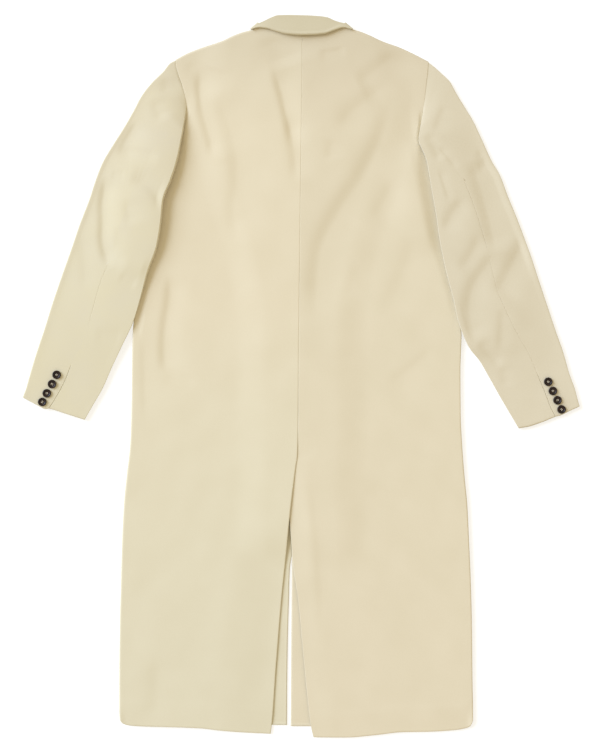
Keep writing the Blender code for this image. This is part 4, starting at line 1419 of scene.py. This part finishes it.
@dataclass
class Buttons:
    """Four-hole horn buttons, sewn on with cream thread."""

    horn: Material
    thread: Material
    cuff: Button = Button(7.5, 3.4)
    front: Button = Button(12.5, 2.4)
    steps: int = 48
    sharp_from: float = 50.0  # degrees, so that only the holes' edges stay sharp
    # Shares of the radius: a hole's own, its distance out along X and Y, and a strand's
    hole_share: float = 0.1
    out_share: float = 0.145
    strand_share: float = 0.038
    strands: int = 3
    strand_apart: float = 1.7  # in radii of a strand
    arch: float = 0.16  # how flat the strands' half circles are pulled
    sewn_at: float = 0.6  # the share of the height at which they enter the holes

    def blank(self, size: Button) -> BMesh:
        """A turned button: a rounded rim round a dished face.

        Args:
            size: how big it is.

        Returns:
            The mesh, face up.
        """
        bm = bmesh.new()
        line = [
            bm.verts.new((out * size.radius * MM, 0.0, up * size.height * MM))
            for out, up in BUTTON_SECTION
        ]
        edges = [bm.edges.new(pair) for pair in zip(line, line[1:])]
        bmesh.ops.spin(
            bm, geom=line + edges, cent=(0, 0, 0), axis=(0, 0, 1), angle=2.0 * math.pi,
            steps=self.steps, use_merge=True,
        )
        bmesh.ops.remove_doubles(bm, verts=bm.verts, dist=0.01 * MM)
        bmesh.ops.recalc_face_normals(bm, faces=bm.faces)
        return bm

    def drill(self, thing: Object, size: Button) -> None:
        """Cuts the four holes through a button.

        Args:
            thing: the button, still at the origin.
            size: how big it is.
        """
        bm = bmesh.new()
        hole = self.hole_share * size.radius * MM
        out = self.out_share * math.sqrt(2.0) * size.radius * MM
        for turn in range(4):
            angle = math.pi * (0.25 + 0.5 * turn)
            spot = Vector((out * math.cos(angle), out * math.sin(angle), 0.5 * size.height * MM))
            bmesh.ops.create_cone(
                bm, cap_ends=True, segments=20, radius1=hole, radius2=hole,
                depth=3.0 * size.height * MM, matrix=Matrix.Translation(spot),
            )
        cutter = add_object("drill", bm)
        cut = thing.modifiers.new("holes", "BOOLEAN")
        cut.operation = "DIFFERENCE"
        cut.object = cutter
        bpy.context.view_layer.update()
        graph = bpy.context.evaluated_depsgraph_get()
        drilled = bpy.data.meshes.new_from_object(thing.evaluated_get(graph))
        thing.modifiers.clear()
        thing.data = drilled
        drilled.shade_smooth()
        drilled.set_sharp_from_angle(angle=math.radians(self.sharp_from))
        bpy.data.objects.remove(cutter)

    def stitches(self, size: Button) -> BMesh:
        """The thread: strands that arch from hole to hole, in two bars.

        Args:
            size: how big the button is.

        Returns:
            The mesh of all strands.
        """
        reach = self.out_share * size.radius
        strand = self.strand_share * size.radius
        bm = bmesh.new()
        for bar in (-1, 1):
            for number in range(self.strands):
                off = (number - 0.5 * (self.strands - 1)) * self.strand_apart * strand
                ring = bmesh.ops.create_circle(bm, segments=8, radius=strand * MM)["verts"]
                start = Vector((bar * reach + off, reach, 0.0)) * MM
                bmesh.ops.translate(bm, verts=ring, vec=start)
                edges = list({edge for vert in ring for edge in vert.link_edges})
                swept = bmesh.ops.spin(
                    bm, geom=ring + edges, cent=Vector((bar * reach, 0.0, 0.0)) * MM,
                    axis=(1, 0, 0), angle=math.pi, steps=12,
                )
                for end in (ring, [g for g in swept["geom_last"] if hasattr(g, "co")]):
                    bmesh.ops.contextual_create(bm, geom=end)
        for vert in bm.verts:
            vert.co.z = self.arch * abs(vert.co.z) + self.sewn_at * size.height * MM
        bmesh.ops.recalc_face_normals(bm, faces=bm.faces)
        return bm

    def sew_on(
        self, node: str, size: Button, place: tuple[float, ...], base: float,
        upside_down: bool = False,
    ) -> None:
        """Makes one button with its thread and puts both where the node is.

        Args:
            node: the node that the button stands for.
            size: how big it is.
            place: X and Y of its middle, and how far it is turned, in degrees.
            base: how high its underside lies.
            upside_down: whether its face is down.
        """
        x, y, turn = place
        button = add_object(f"horn_{node}", self.blank(size))
        self.drill(button, size)
        thread = add_object(f"thread_{node}", self.stitches(size))
        flip = Matrix.Identity(4)
        if upside_down:
            flip = Matrix.Translation((0, 0, size.height * MM)) @ Matrix.Rotation(math.pi, 4, "X")
        spot = Matrix.Translation(Vector((x, y, base)) * MM)
        for thing in (button, thread):
            thing.data.transform(spot @ Matrix.Rotation(math.radians(turn), 4, "Z") @ flip)
        stand_for(button, node, Slot.HORN, self.horn)
        thread.data.materials.append(self.thread)
        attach(thread, "root")

    def build(self) -> None:
        """Sews on the cuff buttons and the front's."""
        for side in Side:
            for number, place in enumerate(CUFF_BUTTONS[side], start=1):
                node = f"cuff_button_{side.word}_{number}"
                self.sew_on(node, self.cuff, place, UPPER + BUTTON_GAP)
        for number, place in enumerate(FRONT_BUTTONS, start=1):
            self.sew_on(f"front_button_{number}", self.front, place, 0.0, upside_down=True)


@dataclass
class Studio:
    """A plain pale floor, soft light from the upper left and a camera straight above."""

    floor_colour: str = "#ababa9"
    floor_reach: float = 30.0
    floor_glow: float = 0.62
    centre: tuple[float, float] = (-0.00174, 0.00174)
    height: float = 3.2
    frame_height: float = 1.305
    key_power: float = 3.6
    key_colour: tuple[float, float, float] = (0.69, 0.84, 1.16)
    key_spread: float = 40.0  # degrees, wide enough for soft shadow edges
    key_from: tuple[float, float, float] = (-1.1, 0.55, 0.72)
    ambient: float = 0.86
    ambient_colour: tuple[float, float, float] = (1.0, 0.885, 0.68)

    def build(self) -> None:
        """Makes the floor, the lights and the camera."""
        scene = bpy.context.scene
        scene.view_settings.view_transform = "Standard"
        self.floor()
        world = bpy.data.worlds.new("studio")
        world.use_nodes = True
        back = world.node_tree.nodes["Background"]
        back.inputs["Color"].default_value = (*self.ambient_colour, 1.0)
        back.inputs["Strength"].default_value = self.ambient
        scene.world = world
        self.key_light()
        lens = bpy.data.cameras.new("camera")
        lens.sensor_fit = "VERTICAL"
        lens.sensor_height = 36.0
        lens.lens = lens.sensor_height * self.height / self.frame_height
        lens.clip_end = 20.0
        camera = bpy.data.objects.new("camera", lens)
        camera.location = (*self.centre, self.height)
        scene.collection.objects.link(camera)
        scene.camera = camera

    def floor(self) -> None:
        """Lays the matt paper that the coat lies on."""
        bm = bmesh.new()
        bmesh.ops.create_grid(bm, x_segments=4, y_segments=4, size=self.floor_reach)
        floor = add_object("studio_floor", bm)
        paper, _, _ = new_material(
            "matt_paper", Base_Color=linear(self.floor_colour), Roughness=0.95,
            Emission_Color=(1.0, 1.0, 1.0, 1.0), Emission_Strength=self.floor_glow,
        )
        floor.data.materials.append(paper)

    def key_light(self) -> None:
        """Adds the soft key light, even over the whole coat."""
        lamp = bpy.data.lights.new("key", "SUN")
        lamp.energy = self.key_power
        lamp.color = self.key_colour
        lamp.angle = math.radians(self.key_spread)
        thing = bpy.data.objects.new("key", lamp)
        thing.location = self.key_from
        aim = -Vector(self.key_from)
        thing.rotation_euler = aim.to_track_quat("-Z", "Y").to_euler()
        bpy.context.scene.collection.objects.link(thing)


def main() -> None:
    """Builds the coat and its studio."""
    logging.basicConfig(level=logging.INFO, format="%(name)s %(message)s")
    # The backs and the left sleeve carry painted shade of the light's falloff: darker towards the
    # collar, and the left back towards the hem too
    backs = {
        Side.LEFT: WoolCoating(
            "felted_wool_left_back", "#d3c9ae", "#cdc2a5", painted_falloff=(
                (0.08, 0.945, 0.032), (0.26, 0.965, 0.03), (0.44, 0.98, 0.02), (0.6, 1.0, 0.0),
                (0.84, 1.0, 0.0), (0.895, 0.97, 0.0), (0.957, 0.915, 0.0),
            ),
        ).build(),
        Side.RIGHT: WoolCoating(
            "felted_wool_right_back", "#d1c6ab", "#cabfa2", painted_falloff=(
                (0.08, 0.985, 0.004), (0.44, 0.995, 0.01), (0.6, 0.995, 0.01), (0.84, 0.98, 0.005),
                (0.895, 0.955, 0.0), (0.957, 0.915, 0.0),
            ),
        ).build(),
    }
    Body(backs).build()
    arms = {
        Side.LEFT: WoolCoating(
            "felted_wool_left_sleeve", "#cdc4a4", "#c9c1aa", painted_falloff=(
                (0.44, 1.0, 0.01), (0.6, 1.0, 0.01), (0.72, 0.98, 0.0), (0.84, 0.955, -0.01),
                (0.94, 0.955, -0.01),
            ),
        ).build(),
        Side.RIGHT: WoolCoating("felted_wool_right_sleeve", "#ccc3aa", "#c4ba9f").build(),
    }
    Sleeves(arms).build()
    # The collar's cloth is painted darker than the body's: painted shade
    Collar(WoolCoating("felted_wool_collar", "#c2b99e", "#b9b090").build(), backs).build()
    Buttons(Horn().build(), Thread().build()).build()
    Studio().build()


if __name__ == "__main__":
    main()
